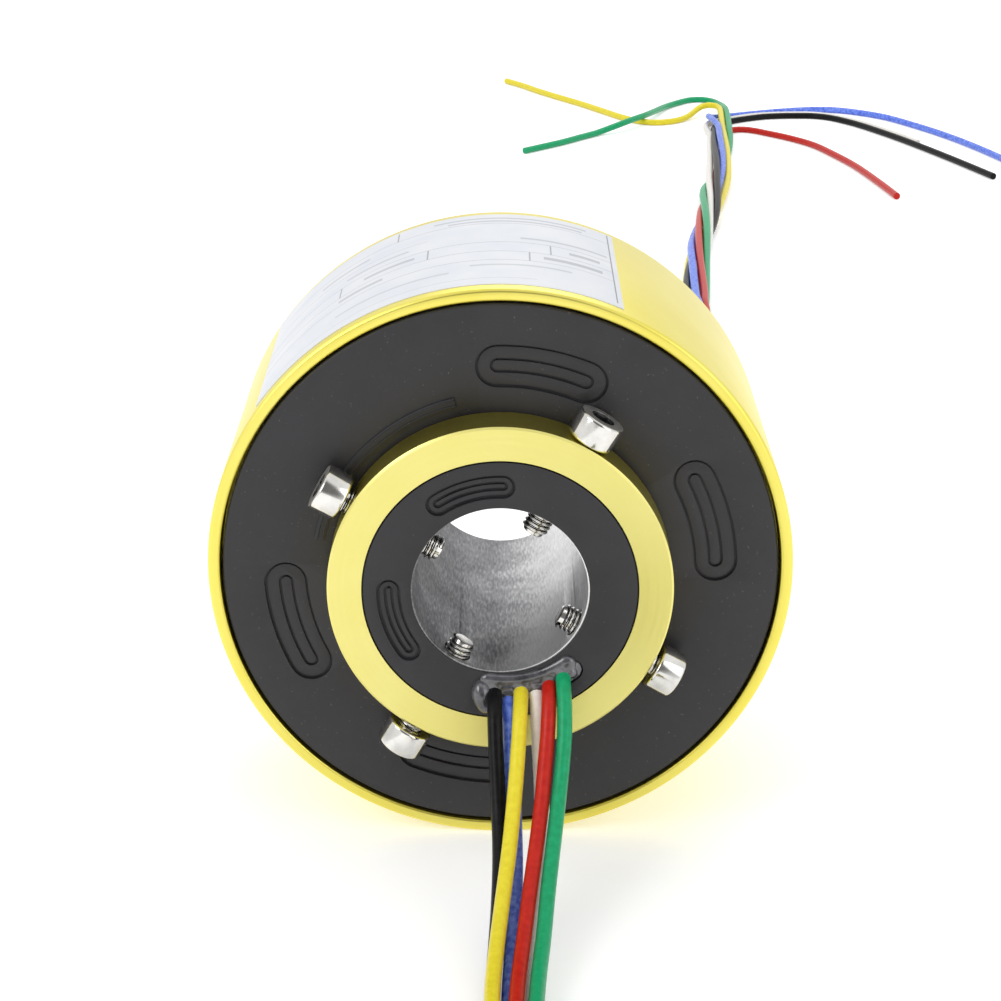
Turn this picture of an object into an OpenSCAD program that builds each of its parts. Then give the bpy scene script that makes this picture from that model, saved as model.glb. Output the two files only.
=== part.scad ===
// Through-bore slip ring: a rotor on a hollow shaft turns inside a closed stator.
// The axis of rotation is Y. The rear face of the stator is at y = 0, the clamp collar is at -Y.

/* [Housing] */
// Outer diameter of the stator housing
housing_od = 86; // [80:1:100]
// Wall of the housing between its two end seats
housing_wall = 2.8; // [2.2:0.1:3.6]
// Wall of the thin rim round each cover
rim_wall = 1.8; // [1.2:0.1:2]
// Chamfer on the outer end edges of the housing
rim_chamfer = 0.4; // [0.2:0.1:0.8]

/* [Shaft bore] */
// Diameter of the shaft bore
bore_d = 25.4; // [20:0.1:26]
// Wall of the metal bore tube
tube_wall = 1.5; // [1:0.1:2]
// How far the rotor stops short of the stator's rear face
rotor_inset = 1.2; // [0.8:0.1:2]
// Length of the plastic lip in front of the bore tube
lip_len = 0.5; // [0.3:0.1:1]
// How far the lip stands back from the bore wall
lip_step = 0.2; // [0.17:0.01:0.3]
// Depth of the relief that the clamp screws open into
relief_depth = 0.3; // [0.2:0.05:0.5]
// Length of that relief
relief_len = 5; // [4:0.5:6]

/* [Rotor core] */
// Diameter of the moulded core, which is the bore of the bearings
core_d = 40; // [39:0.5:41]
// How far the core and the collar stand out in front of the housing
core_reach = 7.5; // [6.5:0.5:10]

/* [Clamp collar] */
// Outer diameter of the clamp collar
collar_od = 50; // [46:1:54]
// Gap between the collar and the front cover
collar_gap = 0.55; // [0.3:0.05:1]
// Wall of the collar's register, which bears on the front inner race
register_wall = 1.2; // [0.8:0.1:1.5]
// Chamfer on the collar's edges
collar_chamfer = 0.3; // [0.1:0.1:0.6]

/* [Clamp screws] */
// Number of clamp screws
screw_count = 4; // [2:1:4]
// Angle of the first clamp screw
screw_start = 60; // [45:5:75]
// Thread diameter
screw_d = 3.9; // [3:0.1:4]
// Length under the head
screw_len = 16; // [14:1:18]
// Head diameter
screw_head_d = 7; // [5.5:0.1:7.2]
// Head height
screw_head_h = 4; // [3:0.1:4.2]
// Width across the flats of the hex socket
screw_key = 3; // [2.4:0.1:3.2]
// Depth of the hex socket
screw_key_depth = 2; // [1.2:0.1:2.4]
// How far each head stands off the collar
screw_backout = [0.15, 1, 1.4, 0.9];

/* [Bearings] */
// Width of each thin-section ball bearing
bearing_w = 7; // [6:0.5:8]
// Radial height of a bearing, bore to outside
bearing_section = 6; // [5.5:0.25:6.5]
// Thickness of each race
race_wall = 1.9; // [1.6:0.05:2.1]
// Diameter of the balls
ball_d = 3.5; // [3:0.1:3.6]
// Number of balls in a bearing
ball_count = 18; // [10:1:20]
// Width of the ball cage
cage_w = 5; // [4.5:0.1:5.5]
// Thickness of the ball cage
cage_wall = 1; // [0.8:0.1:1.4]

/* [Contact rings] */
// Number of circuits
circuits = 6; // [3:1:8]
// Width of a contact ring
ring_w = 2.4; // [1.8:0.1:3]
// Radial height of a contact ring
ring_h = 3; // [2.5:0.1:3.5]
// Radius of the round groove that a brush runs in
groove_r = 0.5; // [0.4:0.05:0.7]
// Width of an insulating ring
insulator_w = 1.45; // [1:0.05:2]
// How far an insulating ring stands above the contact rings
insulator_step = 1.5; // [1:0.1:2]

/* [Covers] */
// Thickness of both covers
cover_t = 3.5; // [3:0.25:5]
// How far the front cover lies below the housing's rim
cover_recess = 0.25; // [0:0.05:0.5]
// Axial play between the rear bearing and the rear cover
end_play = 0.2; // [0.1:0.05:0.5]
// Wall of the bearing seats inside the covers
seat_wall = 3; // [2:0.25:3.5]
// Radial gap round the turning collar register in the front cover
register_gap = 0.8; // [0.4:0.1:1.2]
// Radial height of the lip that holds each outer race
race_lip = 0.9; // [0.5:0.1:1.4]
// Gap between a cover and the rim round it
cover_gap = 0.4; // [0.2:0.05:0.5]

/* [Moulded tracks] */
// Angles of the arc tracks on the front cover
track_angles = [15, 79, 195, 259];
// Radius of those tracks
track_r = 31.6; // [31:0.1:34]
// Half the angle between the centres of a track's ends
track_half = 11.8; // [8:0.1:16]
// Width of a track
track_w = 6.4; // [4:0.1:7]
// Width of the slot inside a track
slot_w = 2.2; // [1.2:0.1:2.6]
// Depth of a track, and of the slot below it
track_depth = 0.4; // [0.2:0.05:0.6]
// Angles of the arc tracks on the rotor core
core_track_angles = [106, 197];
// Radius of the core's tracks
core_track_r = 16.1; // [15.8:0.1:16.8]
// Half the angle between the centres of a core track's ends
core_track_half = 17.5; // [12:0.5:20]
// Width of a core track
core_track_w = 3.5; // [2:0.1:4]
// Width of the slot inside a core track
core_slot_w = 1.3; // [0.8:0.1:1.6]
// Width of the plain raised arc beside the collar
pad_w = 1.5; // [1:0.1:2]
// Height of that arc
pad_h = 0.2; // [0.1:0.05:0.4]
// Start and end angle of that arc
pad_angles = [104, 169];

/* [Brush blocks] */
// Angles of the two brush blocks
block_angles = [90, 270];
// Thickness of a block's back
block_t = 4; // [3:0.5:5]
// Half the width between the arms of a block
arm_x = 11; // [10.5:0.5:12]
// Thickness of an arm
arm_t = 4; // [3:0.5:5]
// Diameter of a brush wire
brush_d = 0.6; // [0.4:0.05:0.7]
// Angle of a tie screw from the middle of its block
tie_angle = 35; // [33:1:38]
// Outer diameter of the posts that the tie screws pass through
post_d = 8; // [7:0.25:8.25]
// Height of the bosses that stand behind the front cover
boss_h = 4; // [3:0.5:6]

/* [Tie screws] */
// Thread diameter
tie_d = 3; // [2.5:0.1:3.5]
// Head diameter
tie_head_d = 5.6; // [5:0.1:6.4]
// Height of the countersunk head
tie_head_h = 1.6; // [1.2:0.1:2]
// How far the thread goes into the front cover
tie_grip = 5; // [4:0.5:5.5]

/* [Stator mounting] */
// Number of threaded inserts in the rear cover
insert_count = 3; // [3:1:3]
// From the axis of an insert to the housing's inside wall
insert_edge = 6.2; // [5.6:0.1:7]
// Tapping-drill diameter of the inserts
insert_bore = 3.3; // [2.5:0.1:3.4]
// Outer diameter of the inserts
insert_od = 5.6; // [5:0.1:6]
// Length of the inserts
insert_len = 5.5; // [4.5:0.5:5.75]

/* [Label] */
// Thickness of the label
label_t = 0.12; // [0.08:0.02:0.2]
// Margin from each end of the housing
label_margin = 2.4; // [1.5:0.1:4]
// Start and end angle of the label
label_angles = [66, 145];

/* [Leads] */
// Outer diameter of one lead
lead_d = 2.2; // [2:0.1:2.2]
// Radius of the circle that the twisted stator leads lie on
twist_r = 2.5; // [2.2:0.1:2.6]
// From the axis of the cable exit to the housing's inside wall
exit_edge = 6.2; // [5:0.1:7]
// Angle of the cable exit
exit_angle = 30; // [29:1:31]
// Diameter of the grommet's neck
grommet_d = 9; // [8.6:0.1:9.6]
// Diameter of the grommet's flange
grommet_flange_d = 11.4; // [11:0.1:12]
// Thickness of the grommet's flange
grommet_flange_t = 1.2; // [0.8:0.1:2]
// Height that the potting stands in front of the core
potting_h = 1; // [0.6:0.1:1.4]
// Start and end angle of the potted exit slot in the core
potting_angles = [-98, -50];

/* [Clearances] */
// Radial clearance of a seated ring, and of a screw in its thread
seat_gap = 0.02; // [0.01:0.01:0.04]
// Clearance of a screw in a plain hole
screw_gap = 0.2; // [0.1:0.05:0.3]
// Clearance of a ball in its raceway and its pocket
ball_gap = 0.05; // [0.03:0.01:0.1]
// Clearance between a brush wire and its ring
brush_gap = 0.15; // [0.1:0.05:0.2]

/* [Hidden] */
$fn = 96;
eps = 0.01;
cut = 1;

// Stations along the axis, from the rear face forwards
stack_len = circuits * ring_w + (circuits + 1) * insulator_w;
housing_len = cover_recess + 2 * cover_t + 2 * bearing_w + stack_len + end_play;
rear_inner = -cover_t;
rear_bearing_y = rear_inner - end_play - bearing_w;
stack_y = rear_bearing_y - stack_len;
front_bearing_y = stack_y - bearing_w;
front_inner = front_bearing_y;
front_face = front_inner - cover_t;
rim_y = -housing_len;
core_face = rim_y - core_reach;
collar_rear = front_face - collar_gap;
core_rear = -rotor_inset;
screw_y = (core_face + collar_rear) / 2;

// Radii
housing_r = housing_od / 2;
rim_r = housing_r - rim_wall;
inner_r = housing_r - housing_wall;
cover_r = rim_r - cover_gap;
bore_r = bore_d / 2;
tube_r = bore_r + tube_wall;
core_r = core_d / 2;
collar_r = collar_od / 2;
register_r = core_r + register_wall;
bearing_r = core_r + bearing_section;
ball_path_r = core_r + bearing_section / 2;
race_r = bearing_r + seat_gap;
seat_r = race_r + seat_wall;
front_hole_r = register_r + register_gap;
rear_hole_r = bearing_r - race_wall - race_lip;
ring_r = core_r + ring_h;
insulator_r = ring_r + insulator_step;
brush_r = ring_r - groove_r + brush_gap + brush_d / 2;
post_r = inner_r - post_d / 2 - 0.6;
insert_r = inner_r - insert_edge;
block_z = insulator_r + 3.5;
snap_t = 1.2;
snap_r = core_r - 0.95;

// Floor that the leads lie on, at the foot of the housing
floor_z = -housing_r;
lead_z = floor_z + 1.1;
bundle_r = twist_r + lead_d / 2;
bundle_z = floor_z + 3.6;
coil_x = 16;
coil_y = -138;
coil_r = 14;
coil_h = 18.4;
coil_gap = 0.2;
wire_pitch = 2.3;
exit_r = inner_r - exit_edge;
exit_x = exit_r * cos(exit_angle);
exit_z = exit_r * sin(exit_angle);

// Route of the twisted stator leads, from the grommet to where they part
bundle_route = [
    [exit_x, -2.5, exit_z], [exit_x, 4, exit_z], [29.6, 10, 16], [30.2, 16, 13],
    [31.2, 22, 7.5], [32.4, 28, -0.5], [33.6, 34, -10.5], [35, 40.5, -20.5],
    [36.8, 48, -29], [38.8, 57, -35], [41, 68, -38.4], [43, 80, -39.3],
    [45, 100, bundle_z], [47, 130, bundle_z], [48.5, 165, bundle_z], [50, 200, bundle_z],
    [51.5, 235, bundle_z], [53.5, 264, bundle_z], [56, 290, bundle_z], [59.4, 315, bundle_z],
    [63.3, 342, bundle_z], [67.1, 371, bundle_z], [71.1, 403, bundle_z], [74.6, 437, bundle_z],
    [77.3, 466, bundle_z]
];

// Loose ends of the stator leads
stator_black = [
    [75.9, 466, -40.3], [76.2, 474, -41.3], [77.6, 481, lead_z], [80.8, 487.5, lead_z],
    [85.4, 491.9, lead_z], [90.5, 495.6, lead_z], [96.4, 498.9, lead_z],
    [102, 500.4, lead_z], [107.6, 500.9, lead_z], [115, 500.6, lead_z],
    [120.8, 497.4, lead_z], [126, 490.8, lead_z], [130.9, 482.5, lead_z],
    [139.9, 462.9, lead_z], [148.2, 441.7, lead_z], [155.8, 420.5, lead_z],
    [162.6, 400.3, lead_z]
];
stator_blue = [
    [76.9, 466, -38.3], [76.2, 475, -38.4], [75.5, 483, -38.9], [75.6, 489.8, -39.9],
    [77.4, 495.2, -41.4], [81.6, 498.6, lead_z], [88, 501.8, lead_z],
    [95.5, 505.4, lead_z], [103, 508.6, lead_z], [110, 511, lead_z],
    [116.5, 512.4, lead_z], [122.7, 512.2, lead_z], [128.5, 510, lead_z],
    [134.2, 505.9, lead_z], [139.8, 500.5, lead_z], [144.7, 493.6, lead_z],
    [153.9, 475.7, lead_z], [162.2, 455.6, lead_z], [170.7, 428.4, lead_z],
    [176, 404, lead_z]
];
stator_red = [
    [79.4, 466, lead_z], [80.6, 471.6, lead_z], [83.4, 475.2, lead_z],
    [87.3, 475.9, lead_z], [91, 473.6, lead_z], [94.8, 469.5, lead_z],
    [101.9, 461.1, lead_z], [108.8, 449.9, lead_z], [113.8, 435.2, lead_z],
    [119.1, 415.3, lead_z], [123.3, 391.4, lead_z], [126.2, 371.7, lead_z]
];
stator_green = [
    [81, 466, -39.6], [81.9, 480, -39.5], [82.6, 493.7, -39.5], [82.9, 504, -39.8],
    [82.9, 515, -41], [82.1, 523, -41.8], [80.1, 529, lead_z], [76.4, 532.2, lead_z],
    [72, 531.3, lead_z], [67.9, 527, lead_z], [61.9, 518, -41.8], [57.3, 505.4, -40.9],
    [52.8, 492, -39.8], [50.1, 486.7, -39.6], [47.4, 482.4, -39.6], [44.3, 478, -39.8],
    [40.6, 474.8, -40.5], [37.5, 472.7, -41.2], [33.7, 469, -41.8],
    [27.5, 461.8, lead_z], [21.4, 454.1, lead_z], [14.5, 446.7, lead_z],
    [7.8, 439.7, lead_z]
];
stator_yellow = [
    [78.8, 466, -39.8], [79.6, 480, -39.7], [80.1, 491, -39.6], [80.5, 499, -39.7],
    [80.6, 505, -40.9], [79.9, 510, -41.8], [77.5, 513.2, lead_z], [74.2, 513, lead_z],
    [72.1, 509.8, lead_z], [71.1, 505.3, lead_z], [69.8, 500.3, lead_z],
    [67.7, 495.3, lead_z], [64.5, 490.7, lead_z], [60.2, 487.8, lead_z],
    [56.2, 487.3, lead_z], [52.6, 489, lead_z], [48.6, 492.9, lead_z],
    [44.6, 497.6, lead_z], [37, 512.5, lead_z], [29.5, 528.1, lead_z],
    [22, 540, lead_z], [14.6, 550.2, lead_z], [8, 560.5, lead_z], [1.6, 570.6, lead_z]
];
stator_white = [
    [74.3, 466, lead_z], [73.9, 474, lead_z], [74, 481, lead_z], [75.4, 486.4, lead_z],
    [78.9, 490.4, lead_z], [83.9, 494.1, lead_z], [89.2, 497.9, lead_z],
    [95.5, 501.3, lead_z], [101.6, 502.8, lead_z], [107.6, 503.3, lead_z],
    [115.6, 503, lead_z], [122.4, 499.2, lead_z], [128, 492.1, lead_z],
    [133.1, 483.7, lead_z], [142.1, 464, lead_z], [146.3, 453, lead_z]
];

// Rotor leads, from the potting to the coil
rotor_black = [
    [-0.85, -52.6, -15.5], [-0.8, -55.34, -15.95], [-0.78, -57.8, -17.59],
    [-0.67, -59.98, -20.64], [-0.44, -62.64, -24.43], [-0.19, -66, -29],
    [0, -71, -33.2], [-0.15, -77, -37], [-0.55, -84.5, -40], [-0.95, -92.5, -41.6],
    [-1.05, -100, lead_z], [-0.7, -108, lead_z], [-0.3, -117, lead_z],
    [-0.3, -125, lead_z], [-0.3, -131, lead_z]
];
rotor_blue = [
    [1.2, -52.6, -16.6], [1.25, -54.52, -17.16], [1.4, -56.39, -18.56],
    [1.55, -58.81, -21.76], [1.8, -62.01, -25.5], [2.05, -66, -29.5],
    [2.2, -71, -33.6], [2.1, -77, -37.4], [1.7, -84.5, -40.3], [1.35, -92.5, -41.7],
    [1.3, -100, lead_z], [1.6, -108, lead_z], [2, -117, lead_z], [2, -125, lead_z],
    [2, -128, lead_z]
];
rotor_yellow = [
    [3.05, -52.6, -15.4], [3.02, -55.4, -15.7], [2.9, -57.8, -17], [2.7, -60.4, -19.8],
    [2.4, -63.6, -23.2], [1.95, -67.5, -27], [1.35, -72.5, -31], [0.55, -78.5, -34.6],
    [-0.24, -85.5, -37.6], [-0.83, -93, -39.2], [-1, -100, -39.6],
    [-0.75, -108, -39.6], [-0.3, -117, -39.6], [-0.3, -125, -39.6], [-0.3, -131, -39.6]
];
rotor_white = [
    [5.3, -52.6, -15.3], [5.35, -54.44, -16.2], [5.45, -56.44, -18.24],
    [5.65, -58.77, -21.81], [5.9, -62.04, -25.52], [6, -66, -29.5], [5.65, -71, -33.6],
    [4.9, -77, -37.4], [4.1, -84.5, -40.3], [3.6, -92.5, -41.7], [3.6, -100, lead_z],
    [3.9, -108, lead_z], [4.3, -117, lead_z], [4.3, -121, lead_z], [4.3, -125, lead_z]
];
rotor_red = [
    [7.2, -52.6, -14.2], [7.15, -55.21, -14.73], [7.03, -57.95, -16.67],
    [6.8, -60.49, -19.96], [6.4, -63.6, -23.15], [5.9, -67.5, -27], [5.1, -72.5, -31],
    [4.2, -78.5, -34.6], [3.37, -85.5, -37.6], [2.6, -93, -39.2], [2.2, -100, -39.6],
    [2, -108, -39.6], [2, -117, -39.6], [2, -125, -39.6], [2, -128, -39.6]
];
rotor_green = [
    [9.15, -52.6, -12.7], [9.17, -55.3, -13.63], [9.32, -58, -16.13],
    [9.27, -60.42, -19.57], [8.86, -63.57, -23.23], [8.25, -67.5, -27],
    [7.5, -72.5, -31], [6.7, -78.5, -34.6], [6, -85.5, -37.6], [5.24, -93, -39.2],
    [4.8, -100, -39.6], [4.5, -108, -39.6], [4.3, -117, -39.6], [4.3, -121, -39.6],
    [4.3, -125, -39.6]
];

// ---- Helpers ----

// Turns a shape made about Z so that its axis lies along Y
module along_y() rotate([-90, 0, 0]) children();

// Turns a shape to an angle about Y, measured from +X towards +Z
module at_angle(a) rotate([0, -a, 0]) children();

// Revolves an outline of [radius, y] points about Y
module revolve(outline) along_y() rotate_extrude() polygon(outline);

// Plain ring about Y
module ring(r1, r2, y1, y2) revolve([[r1, y1], [r2, y1], [r2, y2], [r1, y2]]);

// Round bar along Y at a radius and an angle
module bar_y(r, a, d, y1, y2)
    at_angle(a) translate([r, y1, 0]) along_y() cylinder(d = d, h = y2 - y1);

// Round bar that points outwards from the axis
module bar_out(a, y, d, r1, r2)
    at_angle(a) translate([r1, y, 0]) rotate([0, 90, 0]) cylinder(d = d, h = r2 - r1);

// Flat sector that trims a ring to the angles from a1 to a2
module wedge(r, a1, a2)
    polygon(concat([[0, 0]], [for (i = [0:4]) let (a = a1 + (a2 - a1) * i / 4) r * [cos(a), sin(a)]]));

// Points of an arc from a1 to a2 in n steps, turned and moved to radius c at angle at
function arc_pts(r, a1, a2, n, c = 0, at = 0) =
    [for (i = [0:n]) let (a = a1 + (a2 - a1) * i / n) c * [cos(at), sin(at)] + r * [cos(a), sin(a)]];

// Arc-shaped slot with round ends, cut between y1 and y2
module arc_slot(r, a, half, w, y1, y2)
    along_y() translate([0, 0, y1]) linear_extrude(y2 - y1) rotate(-a) polygon(concat(
        arc_pts(r + w / 2, -half, half, 12),
        [for (i = [1:7]) arc_pts(w / 2, half, half + 180, 8, r, half)[i]],
        arc_pts(r - w / 2, half, -half, 12),
        [for (i = [1:7]) arc_pts(w / 2, 180 - half, 360 - half, 8, r, -half)[i]]
    ));

// A track with its deeper slot, sunk into a face that looks towards -Y
module track(r, a, half, w, slot, face) {
    arc_slot(r, a, half, w, face - cut, face + track_depth);
    arc_slot(r, a, half, slot, face - cut, face + 2 * track_depth);
}

// ---- Smooth routes and tubes ----

function spline(p, i, t) =
    let (a = p[max(i - 1, 0)], b = p[i], c = p[i + 1], d = p[min(i + 2, len(p) - 1)])
    0.5 * (2 * b + (c - a) * t + (2 * a - 5 * b + 4 * c - d) * t * t
        + (3 * b - a - 3 * c + d) * t * t * t);
function route_len(p) = [for (i = 0, s = 0; i < len(p) - 1; s = s + norm(p[i + 1] - p[i]), i = i + 1) s];
function smooth(p, step) = concat(
    [for (i = [0:len(p) - 2]) let (n = max(1, round(norm(p[i + 1] - p[i]) / step)))
        for (k = [0:n - 1]) spline(p, i, k / n)],
    [p[len(p) - 1]]);
function unit(v) = v / norm(v);
function tangent(q, i) = unit(q[min(i + 1, len(q) - 1)] - q[max(i - 1, 0)]);
function side(t) = unit(cross(t, [0, 0, 1]));
function hoop(c, t, r, n) =
    let (s = side(t), u = cross(s, t))
    [for (k = [0:n - 1]) let (a = 360 * (k + 0.5) / n) c + r * (cos(a) * s + sin(a) * u)];

// Tube of diameter d along a route, a ring every 2.5 diameters
module tube(route, d, n = 8) {
    q = smooth(route, 2.5 * d);
    m = len(q);
    polyhedron(
        points = [for (i = [0:m - 1]) each hoop(q[i], tangent(q, i), d / 2, n)],
        faces = concat(
            [[for (k = [0:n - 1]) k]],
            [for (i = [0:m - 2]) for (k = [0:n - 1])
                [i * n + k, (i + 1) * n + k, (i + 1) * n + (k + 1) % n, i * n + (k + 1) % n]],
            [[for (k = [n - 1:-1:0]) (m - 1) * n + k]]
        ),
        convexity = 10
    );
}

// ---- Stator ----

// Turned and anodised tube with a seat for a cover at each end
module housing() color([0.91, 0.88, 0.5]) revolve([
    [rim_r, rim_y], [housing_r - rim_chamfer, rim_y], [housing_r, rim_y + rim_chamfer],
    [housing_r, -rim_chamfer], [housing_r - rim_chamfer, 0], [rim_r, 0],
    [rim_r, rear_inner], [inner_r, rear_inner], [inner_r, front_inner], [rim_r, front_inner]
]);

// Film label that wraps the top of the housing
module label() color([0.88, 0.89, 0.92])
    along_y() translate([0, 0, rim_y + label_margin])
        linear_extrude(housing_len - 2 * label_margin) intersection() {
            difference() {
                circle(r = housing_r + label_t);
                circle(r = housing_r);
            }
            wedge(2 * housing_r, -label_angles[1], -label_angles[0]);
        }

// Places something at each tie screw: r = post_r, angle in $a
module at_ties() for (b = block_angles, s = [-1, 1]) let ($a = b + s * tie_angle) children();

// Moulded front cover with the front bearing's seat and the bosses of the tie screws
module front_cover() color([0.2, 0.2, 0.21]) {
    difference() {
        union() {
            revolve([
                [front_hole_r, front_face], [cover_r - 0.3, front_face],
                [cover_r, front_face + 0.3], [cover_r, front_inner],
                [seat_r, front_inner], [seat_r, stack_y - 0.35],
                [race_r, stack_y - 0.35], [race_r, front_inner], [front_hole_r, front_inner]
            ]);
            at_ties() bar_y(post_r, $a, post_d, front_inner - eps, front_inner + boss_h);
            pad();
        }
        for (a = track_angles) track(track_r, a, track_half, track_w, slot_w, front_face);
        at_ties() bar_y(post_r, $a, tie_d + 2 * seat_gap, front_inner + boss_h - tie_grip - cut, 0);
    }
}

// Plain raised arc on the front cover, beside the collar
module pad() {
    mid = (pad_angles[0] + pad_angles[1]) / 2;
    half = (pad_angles[1] - pad_angles[0]) / 2;
    arc_slot(collar_r + 1.2 + pad_w / 2, mid, half, pad_w, front_face - pad_h, front_face + eps);
}

// Moulded rear cover with the rear bearing's seat, the cable exit and the insert bosses
module rear_cover() color([0.2, 0.2, 0.21]) difference() {
    union() {
        revolve([
            [rear_hole_r, rear_inner], [race_r, rear_inner], [race_r, rear_bearing_y + 0.35],
            [seat_r, rear_bearing_y + 0.35], [seat_r, rear_inner], [cover_r, rear_inner],
            [cover_r, -0.3], [cover_r - 0.3, 0], [rear_hole_r, 0]
        ]);
        at_inserts() bar_y(insert_r, $a, insert_od + 2.6, -insert_len, rear_inner + eps);
    }
    at_inserts() bar_y(insert_r, $a, insert_od + 2 * seat_gap, -insert_len - cut, cut);
    at_ties() {
        bar_y(post_r, $a, tie_d + 2 * screw_gap, rear_inner - cut, cut);
        at_angle($a) translate([post_r, 0, 0]) tie_head(seat_gap);
    }
    bar_y(exit_r, exit_angle, grommet_d + 2 * seat_gap, rear_inner - cut, cut);
}

// Countersunk head whose flat face is at y = 0
module tie_head(gap)
    along_y() translate([0, 0, -tie_head_h - gap])
        cylinder(d1 = tie_d, d2 = tie_head_d + 2 * gap, h = tie_head_h + gap);

// Long countersunk screws that draw the covers and the brush blocks together
module tie_screws() color([0.6, 0.6, 0.62]) at_ties() at_angle($a) translate([post_r, 0, 0])
    difference() {
        union() {
            tie_head(0);
            along_y() translate([0, 0, front_inner + boss_h - tie_grip])
                cylinder(d = tie_d, h = -front_inner - boss_h + tie_grip - tie_head_h + eps);
        }
        along_y() translate([0, 0, -1.2]) cylinder(d = 2 / cos(30), h = 2, $fn = 6);
    }

// Places something at each threaded insert, angle in $a
module at_inserts() for (i = [0:insert_count - 1]) let ($a = 90 + i * 360 / insert_count) children();

// Brass inserts that a torque bracket is screwed to
module mounting_inserts() color([0.78, 0.62, 0.3]) at_inserts() difference() {
    bar_y(insert_r, $a, insert_od, -insert_len, 0);
    bar_y(insert_r, $a, insert_bore, -insert_len - cut, cut);
}

// Race of a bearing between two radii, with a raceway for the balls
module race(r1, r2, y) color([0.72, 0.73, 0.75]) along_y() rotate_extrude() difference() {
    translate([r1, y]) square([r2 - r1, bearing_w]);
    translate([ball_path_r, y + bearing_w / 2]) circle(d = ball_d + 2 * ball_gap, $fn = 48);
}
module outer_race(y) race(bearing_r - race_wall, bearing_r, y);
module inner_race(y) race(core_r + seat_gap, core_r + race_wall, y);

// The balls of a bearing
module balls(y) color([0.8, 0.8, 0.82]) for (i = [0:ball_count - 1])
    at_angle(i * 360 / ball_count) translate([ball_path_r, y + bearing_w / 2, 0])
        sphere(d = ball_d, $fn = 32);

// The cage that spaces the balls
module cage(y) color([0.75, 0.6, 0.35]) difference() {
    ring(ball_path_r - cage_wall / 2, ball_path_r + cage_wall / 2,
        y + (bearing_w - cage_w) / 2, y + (bearing_w + cage_w) / 2);
    for (i = [0:ball_count - 1])
        bar_out(i * 360 / ball_count, y + bearing_w / 2, ball_d + 2 * ball_gap,
            ball_path_r - cage_wall, ball_path_r + cage_wall);
}

// Axial middle of each contact ring
function circuit_y(i) = stack_y + insulator_w + ring_w / 2 + i * (ring_w + insulator_w);

// Brush block: a back plate, two arms that hold the wires, and two posts for the tie screws
module brush_block(a) color([0.25, 0.42, 0.3]) at_angle(a - 90) difference() {
    union() {
        translate([0, stack_y + 0.2, 0]) rotate([-90, 0, 0]) linear_extrude(stack_len - 0.4) {
            translate([-arm_x - arm_t, -block_z - block_t]) square([2 * (arm_x + arm_t), block_t]);
            for (s = [-1, 1]) {
                translate([s * (arm_x + arm_t / 2), -(brush_r + block_z) / 2])
                    square([arm_t, block_z - brush_r + 2], center = true);
                polygon([
                    [s * (arm_x + arm_t), -block_z], [s * (arm_x + arm_t), -block_z - block_t],
                    post_r * [s * sin(tie_angle), -cos(tie_angle)] + [0, -block_t / 2],
                    post_r * [s * sin(tie_angle), -cos(tie_angle)] + [0, block_t / 2]
                ]);
            }
        }
        for (s = [-1, 1]) bar_y(post_r, 90 + s * tie_angle, post_d, front_inner + boss_h, rear_inner);
    }
    for (s = [-1, 1])
        bar_y(post_r, 90 + s * tie_angle, tie_d + 2 * screw_gap, front_inner, 0);
    for (i = [0:circuits - 1]) brush_bar(i, brush_d + 2 * seat_gap, 2 * arm_t);
}

// One brush wire's line across the top of a ring
module brush_bar(i, d, over) translate([-arm_x - over, circuit_y(i), brush_r])
    rotate([0, 90, 0]) cylinder(d = d, h = 2 * (arm_x + over), $fn = 24);

// Precious-metal wires that run in the grooves of the contact rings
module brush_wires(a) color([0.85, 0.7, 0.4]) at_angle(a - 90)
    for (i = [0:circuits - 1]) brush_bar(i, brush_d, arm_t - 0.5);

// Rubber grommet round the twisted leads
module lead_grommet() color([0.12, 0.12, 0.12]) at_angle(exit_angle) translate([exit_r, 0, 0])
    difference() {
        union() {
            along_y() translate([0, 0, rear_inner]) cylinder(d = grommet_d, h = cover_t);
            along_y() rotate_extrude() polygon([
                [0, 0], [grommet_flange_d / 2, 0], [grommet_flange_d / 2, grommet_flange_t * 0.6],
                [grommet_flange_d / 2 - 0.5, grommet_flange_t], [0, grommet_flange_t]
            ]);
        }
        along_y() translate([0, 0, rear_inner - cut])
            cylinder(r = bundle_r + 0.1, h = cover_t + grommet_flange_t + 2 * cut);
    }

// ---- Rotor ----

// Metal tube that the customer's shaft passes through
module bore_tube() color([0.62, 0.62, 0.64]) difference() {
    revolve([
        [bore_r, core_face + lip_len], [tube_r, core_face + lip_len],
        [tube_r, core_rear], [bore_r, core_rear],
        [bore_r, screw_y + relief_len / 2], [bore_r + relief_depth, screw_y + relief_len / 2],
        [bore_r + relief_depth, screw_y - relief_len / 2], [bore_r, screw_y - relief_len / 2]
    ]);
    at_clamps() bar_out($a, screw_y, screw_d + 2 * screw_gap, 0, core_r);
}

// Places something at each clamp screw, angle in $a and stand-off in $out
module at_clamps() for (i = [0:screw_count - 1])
    let ($a = screw_start + i * 360 / screw_count, $out = screw_backout[i]) children();

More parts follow.
